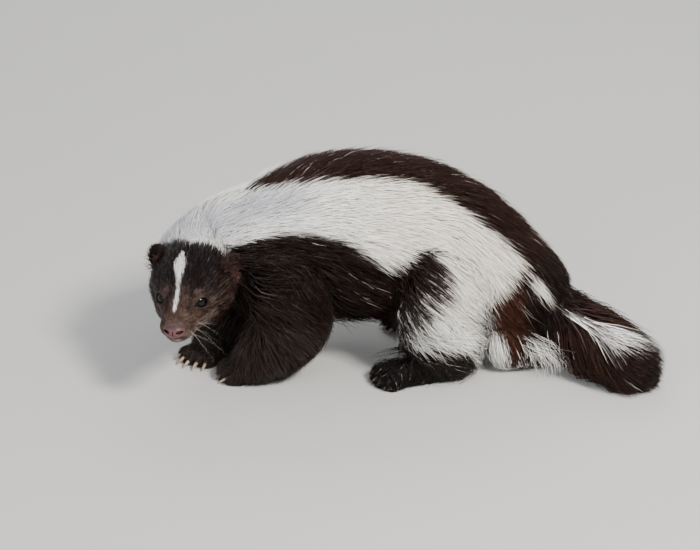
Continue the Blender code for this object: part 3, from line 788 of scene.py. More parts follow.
def inside(x, z, outline):
    """Signed distance into a closed outline in the side plane, positive inside."""
    outline = np.array(outline)
    count = np.zeros(len(x), int)
    best = np.full(len(x), FAR)
    points = np.stack([x, z], axis=1)
    for a, b in zip(outline, np.roll(outline, -1, axis=0)):
        best = np.minimum(best, to_segment(points, a, b)[0])
        crosses = (a[1] > z) != (b[1] > z)
        at = a[0] + (z - a[1]) * (b[0] - a[0]) / (b[1] - a[1] if b[1] != a[1] else 1.0)
        count += (crosses & (x < at)).astype(int)
    return np.where(count % 2 == 1, best, -best)


def distance_to(points, spots):
    """Distance of each point from the nearest of the spots."""
    return np.min([np.linalg.norm(points - np.array(spot), axis=1) for spot in spots], axis=0)


def unit(vectors):
    """The same vectors, each one long."""
    return vectors / np.maximum(np.linalg.norm(vectors, axis=-1), 1e-9)[..., None]


def ramp(value, pairs):
    return np.interp(value, [a for a, _ in pairs], [b for _, b in pairs])


def of_forms(forms, *names):
    return np.isin(forms, [FORM_NAMES.index(name) for name in names])


# The markings. Shares along the trunk, degrees from the middle of the back, and metres.
STRIPE_HALF = [(0.15, 0.0), (0.19, 5.0), (0.27, 12.5), (0.33, 19.0), (0.38, 24.0), (0.44, 28.0),
               (0.53, 26.0), (0.60, 29.0), (0.90, 31.0)]
WHITE_REACH = [(0.00, 68.0), (0.14, 63.0), (0.215, 54.0), (0.275, 57.0), (0.335, 64.0), (0.38, 70.0),
               (0.44, 82.0), (0.465, 92.0), (0.50, 98.0), (0.53, 150.0), (1.00, 150.0)]
WHITE_END = [(0.0, 0.877), (25.0, 0.875), (50.0, 0.863), (80.0, 0.848), (100.0, 0.842), (122.0, 0.868),
             (140.0, 0.93)]
THIGH_PATCH = [(-0.014, 0.096), (0.002, 0.084), (0.012, 0.090), (0.020, 0.098), (0.029, 0.100),
               (0.037, 0.097), (0.041, 0.088), (0.040, 0.077), (0.031, 0.062), (0.024, 0.052),
               (0.013, 0.034), (0.004, 0.026), (-0.020, 0.026)]
THIGH_START = 0.40
RUMP_START = 0.9
NECK_ZONE = (0.085, -0.070)
RIGHT_LEG_SHIFT = 0.030
FOOT_LINE = [(0.000, 0.028), (0.012, 0.028), (0.030, 0.031), (0.054, 0.029), (0.064, 0.010)]
STRIP_TOP = 0.062
STRIP_EDGE = [(0.003, 0.0890), (0.020, 0.0855), (0.035, 0.0800), (0.052, 0.0755), (0.062, 0.0720)]
WISP_NOISE = [(0.0915, 2.0), (0.0940, 0.05), (0.103, 0.10), (0.110, 0.60), (0.128, 0.85), (0.131, 2.0)]
WISP_TOP = (0.031, 0.010)
WISP_WHITE = 0.85
STRAY_NOISE = 0.995
STRAY_START = 0.3
STRAY_WHITE = 0.4
TAIL_STREAK = [(0.104, -0.064, 0.073), (0.116, -0.073, 0.059), (0.127, -0.080, 0.049),
               (0.147, -0.088, 0.041), (0.158, -0.091, 0.037), (0.169, -0.093, 0.032)]
TAIL_STREAK_HALF = [(0.0, 0.0038), (0.25, 0.0050), (0.5, 0.0070), (0.8, 0.0088), (1.0, 0.0044)]
STREAK_GAP = (0.64, 0.05)
STREAK_GAP_NOISE = 0.06
STREAK_GAP_WHITE = 0.25
CAPE_DIP = [(-0.134, -0.006, 0.106), (-0.115, -0.012, 0.114), (-0.097, -0.019, 0.123),
            (-0.064, -0.029, 0.132)]
CAPE_EDGE = [(-0.035, 0.081), (-0.023, 0.078), (-0.002, 0.065), (0.012, 0.069), (0.021, 0.0725),
             (0.033, 0.068)]
BLAZE_MIDDLE = [(0.006, -0.0018), (0.016, -0.0020), (0.025, -0.0024), (0.032, -0.0034), (0.044, -0.0048),
                (0.056, -0.0046)]
BLAZE_HALF = [(0.009, 0.0), (0.011, 0.0011), (0.018, 0.0016), (0.025, 0.0010), (0.031, 0.0014),
              (0.036, 0.0026), (0.044, 0.0041), (0.049, 0.0027), (0.054, 0.0)]
BLAZE_WHITE = 0.88
BLAZE_STRANDS = (-0.55, 0.5)
HEAD_MIDDLE = (0.042, 0.0, 0.004)
HEAD_REACH = 0.052
HEAD_BACK = 0.0785
HEAD_WHITE_START = 0.06
CHEEK_SPOT = [(-0.094, -0.037, 0.0705), (-0.084, -0.0395, 0.0712)]
CHEEK_SPOT_REACH = 0.0040
CHEEK_SPOT_WHITE = 0.35

# The dark fur. A fade is a place and a width. A mix is a share and what a strand's own noise adds to it.
WARMTH = {"skull": 0.15, "tail": 0.45, "back": 0.24, "rest": 0.10}
WARM_BACK = (40.0, 0.2, 0.9)
WARM_NOISE = 0.5
TAIL_COOLING = (1.25, 1.3, 0.1)
PANEL_FRONT = 0.072
PANEL_BACK = (0.096, 0.005)
PANEL_TOP = (0.072, 0.010)
PANEL_SIDE = -0.03
PANEL_WARMTH = 1.1
CROWN_FRONT = (0.025, 0.008)
CROWN_LOW = (0.008, 0.006)
CROWN_MIX = 0.97
MUZZLE_FRONT = -0.012
MUZZLE_BACK = (0.026, 0.010)
MUZZLE_MIX = (0.68, 0.75)
BAND_MIDDLE = 0.0080
BAND_FADE = (0.0014, 0.0014)
BAND_REACH = (0.012, 0.034)
BAND_MIX = 0.65
LIPS_TOP = (-0.0035, 0.0015)
LIPS_BACK = (0.034, 0.006)
LIPS_MIX = (0.35, 0.9)
LIPS_MOST = 0.9
BROW_PLACE = (0.0262, 0.0102, 0.0165)
BROW_FADE = (0.0018, 0.0012)
BROW_MIX = 0.6
CHEEK_SIDE = (0.012, 0.008)
CHEEK_BACK = (0.062, 0.012)
CHEEK_TOP = (0.014, 0.010)
CHEEK_MIX = (0.12, 1.20)
CHEEK_MOST = 0.95
CHEEK_LIGHT = (0.0365, 0.0185, 0.0055)
CHEEK_LIGHT_REACH = 0.0036
CHEEK_LIGHT_MIX = 0.75
GLINT_NOISE = (0.62, 0.055)
GLINT_START = 0.022
GLINT_MIX = (0.45, 0.22)
FOOT_TOP = (0.020, 0.008)
FORELEG_TOP = (0.050, 0.015)
FORELEG_BROWN_AND_SHEEN = 0.15
CREAM_START = (0.42, 0.2)
CREAM_LOW = (0.055, 0.018)
CREAM_MIX = (0.55, 0.45)
DIP_FADE = (0.014, 0.013)
DIP_MIX = (0.85, 0.5)

# The edges of the markings: how ragged a strand's own noise makes each, and how soft it is.
EDGES = {"stripe": (3.2, 3.0), "reach": (3.84, 4.0), "end": (0.018, 0.012), "patch": (0.0035, 0.0032),
         "foot": (0.004, 0.0025), "cape": (0.0016, 0.0016), "streak": (0.0022, 0.0014),
         "strip": (0.0035, 0.0020), "blaze": (0.0009, 0.0005), "spot": (0.0018, 0.0024),
         "cheek light": (0.0012, 0.0020)}


def eye_rim(head):
    """Distance from the nearer eye's pole, stretched so that a ring of it fits the lids' opening."""
    best = np.full(len(head), FAR)
    for side in SIDES:
        turn = np.array(facing(on_side(EYE_AXIS, side)))
        away = (head - np.array(on_side(EYE_POLE, side))) @ turn
        flat = np.sqrt((away[:, 1] / LID_STRETCH[0]) ** 2 + (away[:, 2] / LID_STRETCH[1]) ** 2)
        best = np.minimum(best, np.where(np.abs(away[:, 0]) < LID_REACH, flat, FAR))
    return best


class Spots:
    """Points just under the coat's tips, with where they lie. noise is a number from -1 to 1 for each."""

    def __init__(self, points, forms, shares, noise):
        self.points, self.shares, self.noise = points, shares, noise
        self.at, angle = trunk_place(points)
        self.turn = np.abs(angle)
        self.head = head_coordinates(points)
        self.skull = of_forms(forms, "skull")
        self.tail = of_forms(forms, "tail")
        self.curtain = of_forms(forms, "curtain")
        self.foreleg = of_forms(forms, "foreleg_left", "foreleg_right")
        self.hindleg = of_forms(forms, "hindleg_left", "hindleg_right")
        self.x = points[:, 0] - np.where(angle < 0.0, RIGHT_LEG_SHIFT, 0.0)
        self.z = points[:, 2]
        self.near_head = (distance_to(self.head, [HEAD_MIDDLE]) < HEAD_REACH) & (self.head[:, 0] < HEAD_BACK)

    def edge(self, name, distance):
        """1 inside a marking and 0 outside it, for a signed distance that is positive inside."""
        ragged, width = EDGES[name]
        return soft(distance + self.noise * ragged, width)

    def strands(self, pair):
        return pair[0] + pair[1] * self.noise


def white_of(spots):
    """How white the coat is: the stripes, the thigh, the tail and the blaze."""
    head, noise, at, turn, z = spots.head, spots.noise, spots.at, spots.turn, spots.z
    body_x = spots.points[:, 0]
    rear = spots.tail | spots.curtain
    white = spots.edge("stripe", turn - ramp(at, STRIPE_HALF))
    white *= spots.edge("reach", ramp(at, WHITE_REACH) - turn)
    white *= spots.edge("end", ramp(turn, WHITE_END) - at)
    white *= 1.0 - spots.edge("patch", inside(spots.x, z, THIGH_PATCH)) * (at > THIGH_START)
    low = spots.edge("foot", ramp(spots.x, FOOT_LINE) - z)
    white = np.where(spots.hindleg, white * (1.0 - low), white)
    white = np.where(spots.foreleg, 0.0, white)
    cape = spots.edge("cape", head[:, 0] - ramp(head[:, 1], CAPE_EDGE))
    white = np.where((head[:, 0] < NECK_ZONE[0]) & (body_x < NECK_ZONE[1]), white * cape, white)

    far, share = from_line(spots.points, TAIL_STREAK)
    streak = spots.edge("streak", ramp(share, TAIL_STREAK_HALF) - far)
    gap = np.abs(share - STREAK_GAP[0]) + STREAK_GAP_NOISE * noise < STREAK_GAP[1]
    streak *= np.where(gap, STREAK_GAP_WHITE, 1.0)
    white = np.where(rear | (at > RUMP_START), np.maximum(white * ~spots.tail, streak), white)
    strip = spots.edge("strip", ramp(z, STRIP_EDGE) - body_x)
    white = np.where(spots.curtain & (z < STRIP_TOP), strip, white)
    wisps = rear & (noise > ramp(body_x, WISP_NOISE)) & (z < spots.strands(WISP_TOP))
    white = np.where(wisps, WISP_WHITE, white)
    stray = (noise > STRAY_NOISE) & ~spots.skull & ~spots.foreleg & (at > STRAY_START)
    white = np.where(stray, np.maximum(white, STRAY_WHITE), white)

    half = ramp(head[:, 0], BLAZE_HALF)
    off = np.abs(head[:, 1] - ramp(head[:, 0], BLAZE_MIDDLE))
    blaze = spots.edge("blaze", half - off) * (head[:, 2] > 0.0)
    blaze *= (half > 0.0) * (BLAZE_WHITE - BLAZE_STRANDS[1] * (noise < BLAZE_STRANDS[0]))
    on_head = np.maximum(white * (head[:, 0] > HEAD_WHITE_START), blaze)
    white = np.where(spots.near_head, on_head, white)
    spot, _ = from_line(spots.points, CHEEK_SPOT)
    other, _ = from_line(spots.points * np.array([1.0, -1.0, 1.0]), CHEEK_SPOT)
    cheek = spots.edge("spot", CHEEK_SPOT_REACH - np.minimum(spot, other))
    return np.maximum(white, cheek * CHEEK_SPOT_WHITE)


def mix(colours, other, weight):
    return colours * (1.0 - weight[:, None]) + np.array(other) * weight[:, None]


def dark_of(spots):
    """Colour of the dark fur: warmer on back and tail, browner on the muzzle, frosted on the cheeks, with
    painted glints on a few strands.
    """
    head, at, z, near_head = spots.head, spots.at, spots.z, spots.near_head
    body_x = spots.points[:, 0]
    rear = spots.tail | spots.curtain
    dark = np.tile(np.array(BLACK_BROWN), (len(head), 1))
    warm = np.where(spots.skull, WARMTH["skull"], np.where(rear, WARMTH["tail"], WARMTH["rest"]))
    on_back = (spots.turn < WARM_BACK[0]) & (at > WARM_BACK[1]) & (at < WARM_BACK[2])
    warm = np.where(on_back, WARMTH["back"], warm)
    cooling = np.clip(TAIL_COOLING[0] - TAIL_COOLING[1] * spots.shares, TAIL_COOLING[2], 1.0)
    warm = np.where(spots.tail, warm * cooling, warm)
    panel = below(body_x, PANEL_BACK) * below(z, PANEL_TOP) * (body_x > PANEL_FRONT) * ~spots.skull
    warm = np.maximum(warm, PANEL_WARMTH * panel * (spots.points[:, 1] < PANEL_SIDE))
    dark = mix(dark, RED_BROWN, np.clip(warm * (1.0 + WARM_NOISE * spots.noise), 0.0, 1.0))
    crown = near_head * above(head[:, 0], CROWN_FRONT) * above(head[:, 2], CROWN_LOW)
    dark = mix(dark, BLACK_BROWN, CROWN_MIX * crown)
    muzzle = below(head[:, 0], MUZZLE_BACK) * (head[:, 0] > MUZZLE_FRONT) * near_head
    dark = mix(dark, MUZZLE_BROWN, np.clip(muzzle * spots.strands(MUZZLE_MIX), 0.0, 1.0))
    band = below(np.abs(np.abs(head[:, 1]) - BAND_MIDDLE), BAND_FADE)
    band *= (head[:, 0] > BAND_REACH[0]) * (head[:, 0] < BAND_REACH[1])
    dark = mix(dark, BLACK_BROWN, BAND_MIX * band * near_head)
    lips = near_head * below(head[:, 2], LIPS_TOP) * below(head[:, 0], LIPS_BACK)
    dark = mix(dark, LIP_FROST, np.clip(lips * spots.strands(LIPS_MIX), 0.0, LIPS_MOST))
    dark = mix(dark, BROW, BROW_MIX * below(distance_to(head, on_both_sides(BROW_PLACE)), BROW_FADE))
    cheek = above(np.abs(head[:, 1]), CHEEK_SIDE) * below(head[:, 0], CHEEK_BACK) * near_head
    cheek *= below(head[:, 2], CHEEK_TOP) * (head[:, 0] > 0.0) * spots.skull
    dark = mix(dark, FROSTED, np.clip(cheek * spots.strands(CHEEK_MIX), 0.0, CHEEK_MOST))
    light_patch = spots.edge("cheek light", CHEEK_LIGHT_REACH - distance_to(np.abs(head), [CHEEK_LIGHT]))
    dark = mix(dark, FROSTED, CHEEK_LIGHT_MIX * light_patch * near_head)
    # Painted highlights: a few strands of the dark fur are greyer, as glints of light on their tips.
    glint = (np.abs(spots.noise - GLINT_NOISE[0]) < GLINT_NOISE[1]) & ~rear & (head[:, 0] > GLINT_START)
    dark = mix(dark, GLINT, np.where(near_head, *GLINT_MIX) * glint)
    dark = mix(dark, FOOT_BLACK, below(z, FOOT_TOP) * (spots.foreleg | spots.hindleg))
    # Partly the brown of the hair and partly painted sheen: the lower forelegs get a little frosted brown,
    # where light catches them.
    dark = mix(dark, FROSTED, FORELEG_BROWN_AND_SHEEN * spots.foreleg * below(z, FORELEG_TOP))
    return mix(dark, LID_BLACK, below(eye_rim(head), (LID_RIM, LID_SOFTNESS)))


def light_of(spots):
    """Colour of the white fur: creamy on the flanks and shaded in the dip of the cape."""
    light = np.tile(np.array(WHITE), (len(spots.points), 1))
    creamy = above(spots.at, CREAM_START) * above(spots.z, CREAM_LOW) * spots.strands(CREAM_MIX)
    light = mix(light, CREAM, np.clip(creamy * ~spots.skull, 0.0, 1.0))
    # Painted shade: the white turns bluish grey along the dip of the cape.
    dip, _ = from_line(spots.points, CAPE_DIP)
    return mix(light, SHADED_WHITE, np.clip(below(dip, DIP_FADE) * spots.strands(DIP_MIX), 0.0, 1.0))


def marking(points, forms, shares, noise):
    """Colour of the coat at points just under its tips, and how white it is there."""
    spots = Spots(points, forms, shares, noise)
    white = white_of(spots)
    return mix(dark_of(spots), light_of(spots), white), white


def attribute(mesh, name, kind, part, values):
    mesh.attributes.new(name, kind, "POINT").data.foreach_set(part, values.ravel())


def coloured(mesh, colours):
    """One colour for each point of the mesh, as an attribute that its material reads."""
    attribute(mesh, "coat_colour", "FLOAT_COLOR", "color", np.insert(colours, 3, 1.0, axis=1))


def smooth_noise(points, size, seed):
    """Smooth random numbers from -1 to 1 over space, from a few waves."""
    draw = np.random.default_rng(seed)
    total = np.zeros(len(points))
    for _ in range(NOISE_WAVES):
        wave = draw.normal(size=3) * (2 * math.pi / size) * NOISE_RATE
        total += np.sin(points @ wave + draw.uniform(0, 2 * math.pi))
    return np.clip(total / NOISE_RANGE, -1.0, 1.0)


# The skin.
skin = make_skin()
skin_uv = unwrapped(skin).reshape(-1, 3, 2)
vertices = numbers(skin.data.vertices, "co", 3)
normals = numbers(skin.data.vertex_normals, "vector", 3)
triangles = numbers(skin.data.loops, "vertex_index", 1, int).reshape(-1, 3)
skin_tree = tree_of(skin)
_, skin_coats, skin_forms, skin_shares = lie_of(vertices)
skin_noise = SKIN_NOISE * smooth_noise(vertices, SKIN_NOISE_SIZE, SEEDS["skin"])
coloured(skin.data, marking(vertices, skin_forms, skin_shares, skin_noise)[0])
skin.data.shade_smooth()


# The coat.

def bare(head):
    """Where no hair grows: the nose, the eyes and the lids' rims."""
    nose = (head - np.array(NOSE_CENTRE)) / (np.array(NOSE_RADII) + BARE_NOSE)
    eyes = distance_to(head, on_both_sides(EYE_CENTRE)) < EYE_RADIUS + BARE_EYE
    return ((nose ** 2).sum(axis=1) < 1.0) | (eye_rim(head) < LID_RIM - BARE_LID) | eyes


def fluff(head):
    """How much deeper the coat is on the cheeks and round the ears, from 0 to 1."""
    cheek = above(head[:, 0], FLUFF_CHEEK[0]) * above(np.abs(head[:, 1]), FLUFF_CHEEK[1])
    cheek *= below(head[:, 2], FLUFF_CHEEK[2]) * below(head[:, 0], FLUFF_CHEEK[3])
    ears = distance_to(head, [on_side(EAR_CENTRES[side], side) for side in SIDES])
    return cheek, below(ears, FLUFF_EAR[0]) * above(head[:, 0], FLUFF_EAR[1])


def grow(count):
    """Roots of the tufts on the skin: place, normal and UV."""
    draw = np.random.default_rng(SEEDS["roots"])
    a, b, c = vertices[triangles[:, 0]], vertices[triangles[:, 1]], vertices[triangles[:, 2]]
    cross = np.cross(b - a, c - a)
    area = np.linalg.norm(cross, axis=1) / 2
    middle = (a + b + c) / 3
    density = ramp(skin_coats[triangles].mean(axis=1), TUFT_DENSITY)
    down = cross[:, 2] / np.maximum(2 * area, 1e-12)
    density = np.where((middle[:, 2] < SOLE_HEIGHT) & (down < SOLE_DOWN), 0.0, density)
    density = np.where(down < UNDERSIDE_DOWN, density * UNDERSIDE_SHARE, density)
    chance = area * density
    faces = draw.choice(len(area), size=count, p=chance / chance.sum())
    r1, r2 = np.sqrt(draw.random(count)), draw.random(count)
    share = np.stack([1 - r1, r1 * (1 - r2), r1 * r2], axis=1)[:, :, None]
    roots = (vertices[triangles[faces]] * share).sum(axis=1)
    normal = unit((normals[triangles[faces]] * share).sum(axis=1))
    place = (skin_uv[faces] * share).sum(axis=1)
    keep = ~bare(head_coordinates(roots))
    return roots[keep], normal[keep], place[keep]


def paths(roots, normal, flow, length, height, curve):
    """Points along each tuft, which follows the skin and rises to its tip, with the skin's normals."""
    count = len(roots)
    result = np.zeros((count, TUFT_SEGMENTS + 1, 3))
    under = np.repeat(normal[:, None, :], TUFT_SEGMENTS + 1, axis=1)
    result[:, 0] = roots - normal * ROOT_DEPTH
    for i in range(count):
        here = Vector(roots[i])
        n = Vector(normal[i])
        way = Vector(flow[i])
        step = length[i] / TUFT_SEGMENTS
        for k in range(1, TUFT_SEGMENTS + 1):
            way = way - n * way.dot(n)
            way.normalize()
            here = here + way * step
            spot, near, _, far = skin_tree.find_nearest(here)
            beyond = min(max(far - OVERHANG[0], 0.0) / OVERHANG[1], 1.0)
            spot = spot + (here - spot) * beyond
            rise = 1.0 - (1.0 - k / TUFT_SEGMENTS) ** curve[i]
            result[i, k] = spot + near * (height[i] * (1.0 - OVERHANG_DROP * beyond) * rise)
            under[i, k] = near
            n = near
            here = spot
    return result, under


def clumped(path, roots, cell, pull):
    """Draw the tips of neighbouring tufts together."""
    draw = np.random.default_rng(SEEDS["clumps"])
    where = (roots + draw.uniform(0, 1, 3)) / cell[:, None] + draw.uniform(0, CLUMP_SHAKE, roots.shape)
    key = (np.floor(where) * np.array(CELL_KEYS)).sum(axis=1).astype(np.int64)
    _, group = np.unique(key, return_inverse=True)
    size = np.bincount(group).astype(float)
    middle = np.stack([np.bincount(group, roots[:, k]) / size for k in range(3)], axis=1)[group]
    for k in range(1, TUFT_SEGMENTS + 1):
        path[:, k] += (middle - roots) * (pull * (k / TUFT_SEGMENTS) ** CLUMP_CURVE)[:, None]
    return path, group


def tuft_mesh(name, slot, path, normal, width, place, colour, light, tone):
    """Closed, tapered tufts of three sides in one mesh, each with its own patch of the skin's UV.

    normal is the skin's at each point of the path. The tufts' shading leans to it, and the coat looks soft.
    light is 1 for a white tuft, whose root is hardly darker than its tip: it gets little of the painted
    shade at the roots.
    """
    count = len(path)
    rings = TUFT_SEGMENTS
    per = TUFT_SIDES * rings + 1
    along = unit(path[:, 1:] - path[:, :-1])
    side = unit(np.cross(along, normal[:, :1]))
    up = np.cross(side, along)
    lean = (SKIN_SHADING[0] + (SKIN_SHADING[1] - SKIN_SHADING[0]) * light)[:, None]
    tilt = np.random.default_rng(count).normal(0.0, HAIR_TILT, (count, 3)) * (1.0 - light)[:, None]
    points = np.zeros((count, per, 3))
    shading = np.zeros((count, per, 3))
    uv = np.zeros((count, per, 2))
    share = np.zeros((count, per))
    for i in range(rings):
        for k in range(TUFT_SIDES):
            angle = math.radians(90.0 + k * 360.0 / TUFT_SIDES)
            across, rise = side[:, i] * math.cos(angle), up[:, i] * math.sin(angle)
            at = TUFT_SIDES * i + k
            thick = (width * TUFT_PROFILE[i] / 2)[:, None]
            points[:, at] = path[:, i] + (across + rise * TUFT_FLATNESS) * thick
            shading[:, at] = normal[:, i] * lean + (across + rise) * (1.0 - lean) + tilt
            reach = PATCH * (1.0 - PATCH_TAPER * i)
            uv[:, at] = place + np.array([math.cos(angle), math.sin(angle)]) * reach
            share[:, at] = i / rings
    points[:, -1] = path[:, -1]
    shading[:, -1] = normal[:, -1] * lean + along[:, -1] * (1.0 - lean)
    uv[:, -1] = place
    share[:, -1] = 1.0
    # Painted shade: the share along each tuft darkens it towards its root, deep in the coat; white tufts get
    # little of it.
    share = share * (1.0 - WHITE_ROOT * light[:, None]) + WHITE_ROOT * light[:, None]
    points[:, :, 2] = np.maximum(points[:, :, 2], FLOOR_CLEAR)
    faces = [(0, 1, 2)]
    for i in range(rings - 1):
        for k in range(TUFT_SIDES):
            a, b = TUFT_SIDES * i + k, TUFT_SIDES * i + (k + 1) % TUFT_SIDES
            faces += [(a, b + TUFT_SIDES, b), (a, a + TUFT_SIDES, b + TUFT_SIDES)]
    last = TUFT_SIDES * (rings - 1)
    faces += [(last + k, per - 1, last + (k + 1) % TUFT_SIDES) for k in range(TUFT_SIDES)]
    pattern = np.array(faces)
    loops = (pattern[None] + (np.arange(count) * per)[:, None, None]).reshape(-1)
    data = bpy.data.meshes.new(name)
    data.vertices.add(count * per)
    data.vertices.foreach_set("co", points.reshape(-1))
    data.loops.add(len(loops))
    data.loops.foreach_set("vertex_index", loops.astype(np.int32))
    data.polygons.add(len(loops) // 3)
    data.polygons.foreach_set("loop_start", np.arange(0, len(loops), 3, dtype=np.int32))
    data.polygons.foreach_set("use_smooth", np.ones(len(loops) // 3, bool))
    layer = data.uv_layers.new(name="OFBake")
    layer.data.foreach_set("uv", uv[:, pattern.reshape(-1)].reshape(-1).astype(np.float32))
    data.update(calc_edges=True)
    coloured(data, np.repeat(colour, per, axis=0))
    attribute(data, "along", "FLOAT", "value", share)
    attribute(data, "tone", "FLOAT", "value", np.repeat(tone, per))
    data.normals_split_custom_set_from_vertices(unit(shading).reshape(-1, 3))
    piece = object_of(name, data)
    return piece


def make_coat():
    """All tufts, as joined meshes for the head, the legs, the tail and the body."""
    roots, normal, place = grow(TUFTS)
    draw = np.random.default_rng(SEEDS["coat"])
    count = len(roots)
    flow, coat, forms, shares = lie_of(roots)
    head = head_coordinates(roots)
    at, angle = trunk_place(roots)
    tail = of_forms(forms, "tail")
    hanging = of_forms(forms, "curtain")

    eyes = distance_to(head, on_both_sides(EYE_POLE))
    calm = np.clip(eyes / EYE_REACH, EYE_COAT_LEAST, 1.0)
    coat = np.where(eyes < EYE_REACH, coat * calm, coat)
    cheek, ear = fluff(head)
    coat = coat + CHEEK_FLUFF * cheek + EAR_FLUFF * ear
    length = (coat * TUFT_LENGTH + TUFT_LEAST) * draw.uniform(*LENGTH_SPREAD, count)
    on_back = (np.abs(angle) < BACK_ANGLE) & (at > BACK_SHARES[0]) & (at < BACK_SHARES[1])
    length = np.where(on_back, length * BACK_LENGTH, length)
    left_over = (1.0 - shares) * TAIL_LENGTH + TAIL_END_HAIR
    length = np.where(tail, np.minimum(length, left_over), length)
    height = coat * draw.uniform(*HEIGHT_SPREAD, count)
    fade = np.clip(left_over / TAIL_HEIGHT_FADE, TAIL_HEIGHT_LEAST, 1.0)
    height = np.where(tail, height * fade, height)
    guard = draw.random(count) < GUARD_SHARE
    length = np.where(guard & ~tail, length * GUARD_LENGTH, length)
    height = np.where(guard & ~tail, height * GUARD_HEIGHT, height)

    outward = unit(head - np.array(FLUFF_CENTRE))
    flow = flow + (outward @ HEAD_TURN.T) * (FLUFF_PUSH[0] * cheek + FLUFF_PUSH[1] * ear)[:, None]
    flow = flow + draw.normal(0.0, FLOW_NOISE, flow.shape)
    wind = np.stack([smooth_noise(roots, WIND_SIZE, SEEDS["wind"] + k) for k in range(3)], axis=1)
    flow = flow + wind * WIND
    flow[hanging] = np.array(CURTAIN_FLOW) + draw.normal(0.0, CURTAIN_NOISE, (hanging.sum(), 3))
    curve = draw.uniform(*RISE_CURVES, count)
    sink = -flow[:, 2] / np.linalg.norm(flow, axis=1)
    to_floor = roots[:, 2] / np.maximum(sink, SINK_LEAST) + FLOOR_HAIR
    length = np.minimum(length, np.where(sink > 0.0, to_floor, length))
    path, under = paths(roots, normal, flow, length, height, curve)
    pull = draw.uniform(*CLUMP_PULL, count) * np.where(hanging, CURTAIN_PULL, 1.0)
    path, group = clumped(path, roots, CLUMP_CELL[0] + coat * CLUMP_CELL[1], pull)

    width = ramp(coat, TUFT_WIDTHS) * draw.uniform(*WIDTH_SPREAD, count) * np.where(guard, GUARD_WIDTH, 1.0)
    waves = STRAND_WAVES * smooth_noise(roots, STRAND_WAVE_SIZE, SEEDS["strands"])
    noise = np.clip(draw.normal(0.0, STRAND_NOISE, count) + waves, -1.0, 1.0)
    colour, light = marking(path[:, 2], forms, shares, noise)
    clump_tone = draw.uniform(-1.0, 1.0, group.max() + 1)[group]
    tone = TONES[0] + TONES[1] * clump_tone + TONES[2] * draw.uniform(-1.0, 1.0, count)
    tone = np.clip(tone, 0.0, 1.0)

    kinds = {"head": of_forms(forms, "skull"), "legs": of_forms(forms, *LEGS), "tail": tail | hanging}
    kinds["body"] = ~(kinds["head"] | kinds["legs"] | kinds["tail"])
    slots = {"head": "head_fur", "legs": "leg_fur", "tail": "body_fur", "body": "body_fur"}
    pieces = []
    for kind, mask in kinds.items():
        chosen = np.flatnonzero(mask)
        chosen = chosen[np.argsort(roots[chosen, 0], kind="stable")]
        parts = max(1, math.ceil(len(chosen) / PIECE_TUFTS))
        for number, pick in enumerate(np.array_split(chosen, parts)):
            looks = [values[pick] for values in (path, under, width, place, colour, light, tone)]
            pieces.append(tuft_mesh(f"coat_{kind}_{number + 1}", slots[kind], *looks))
    return pieces


def make_wisps():
    """Long white hairs that arc down over the root of the tail."""
    draw = np.random.default_rng(SEEDS["wisps"])
    ends = draw.random((WISPS, 4))
    pairs = (WISP_X, WISP_Z, WISP_REACH, WISP_END)
    x, z, reach, end = [least + spread * ends[:, k] for k, (least, spread) in enumerate(pairs)]
    path = np.zeros((WISPS, TUFT_SEGMENTS + 1, 3))
    for k in range(TUFT_SEGMENTS + 1):
        share = k / TUFT_SEGMENTS
        turn = math.radians(WISP_TURN[0] + WISP_TURN[1] * share)
        path[:, k, 0] = x + reach * math.cos(turn)
        path[:, k, 1] = WISP_Y - WISP_OUT * min(WISP_OUT_RATE * share, 1.0)
        path[:, k, 2] = z - (z - end) * (1.0 - math.sin(turn))
    out = np.zeros_like(path)
    out[:, :, 1] = -1.0
    under = [skin_tree.find_nearest(Vector(point))[2] for point in path[:, 0]]
    place = skin_uv[under].mean(axis=1)
    return tuft_mesh("coat_wisps", "body_fur", path, out, np.full(WISPS, WISP_WIDTH), place,
                     np.tile(np.array(WHITE), (WISPS, 1)), np.ones(WISPS), draw.uniform(*WISP_TONES, WISPS))


coat = make_coat() + [make_wisps()]


# Eyes, nose, ears, claws and whiskers.

def make_eyes():
    eyes = []
    for name, centre, turn, _ in eye_turns():
        eye = in_head(ball(f"eyeball_{name}", centre, (EYE_RADIUS,) * 3, turn, segments=48))
        eye.data.shade_smooth()
        eyes.append(eye)
    return eyes


def make_nose():
    """The bare pad: two nostrils that open forward and to the sides, and the groove between them."""
    pad = ball("nose_pad", NOSE_CENTRE, NOSE_RADII, segments=64)
    for side in SIDES:
        turn = Matrix.Rotation(NOSTRIL_TURN * side, 3, "Z")
        nostril = ball("nostril", on_side(NOSTRIL_CENTRE, side), NOSTRIL_RADII, turn, segments=32)
        boolean(pad, nostril, "DIFFERENCE")
        slit = ball("slit", on_side(NOSTRIL_CENTRE + SLIT_OFFSET, side), SLIT_RADII, turn, segments=24)
        boolean(pad, slit, "DIFFERENCE")
    groove = NOSE_CENTRE - Vector((NOSE_RADII[0], 0.0, 0.0))
    boolean(pad, ball("groove", groove, NOSE_GROOVE_RADII, segments=24), "DIFFERENCE")
    smoothed(pad, NOSE_VOXEL, rounds=4)
    local = (numbers(pad.data.vertices, "co", 3) - np.array(NOSE_CENTRE)) / np.array(NOSE_RADII)
    colour = mix(np.array(NOSE_PINK)[None], NOSE_TOP, above(local[:, 2], NOSE_UPPER))
    # Painted shade: the pad darkens deep in the hollows cut into it, the nostrils, their slits and the
    # groove.
    deep = below(np.linalg.norm(local, axis=1), NOSE_DEEP)
    coloured(pad.data, mix(colour, NOSTRIL_PAINTED_SHADE, deep))
    in_head(pad)
    pad.data.shade_smooth()
    return pad


def ear_axis(side):
    return Vector((-math.cos(EAR_OUTWARD), math.sin(EAR_OUTWARD) * side, 0.0))


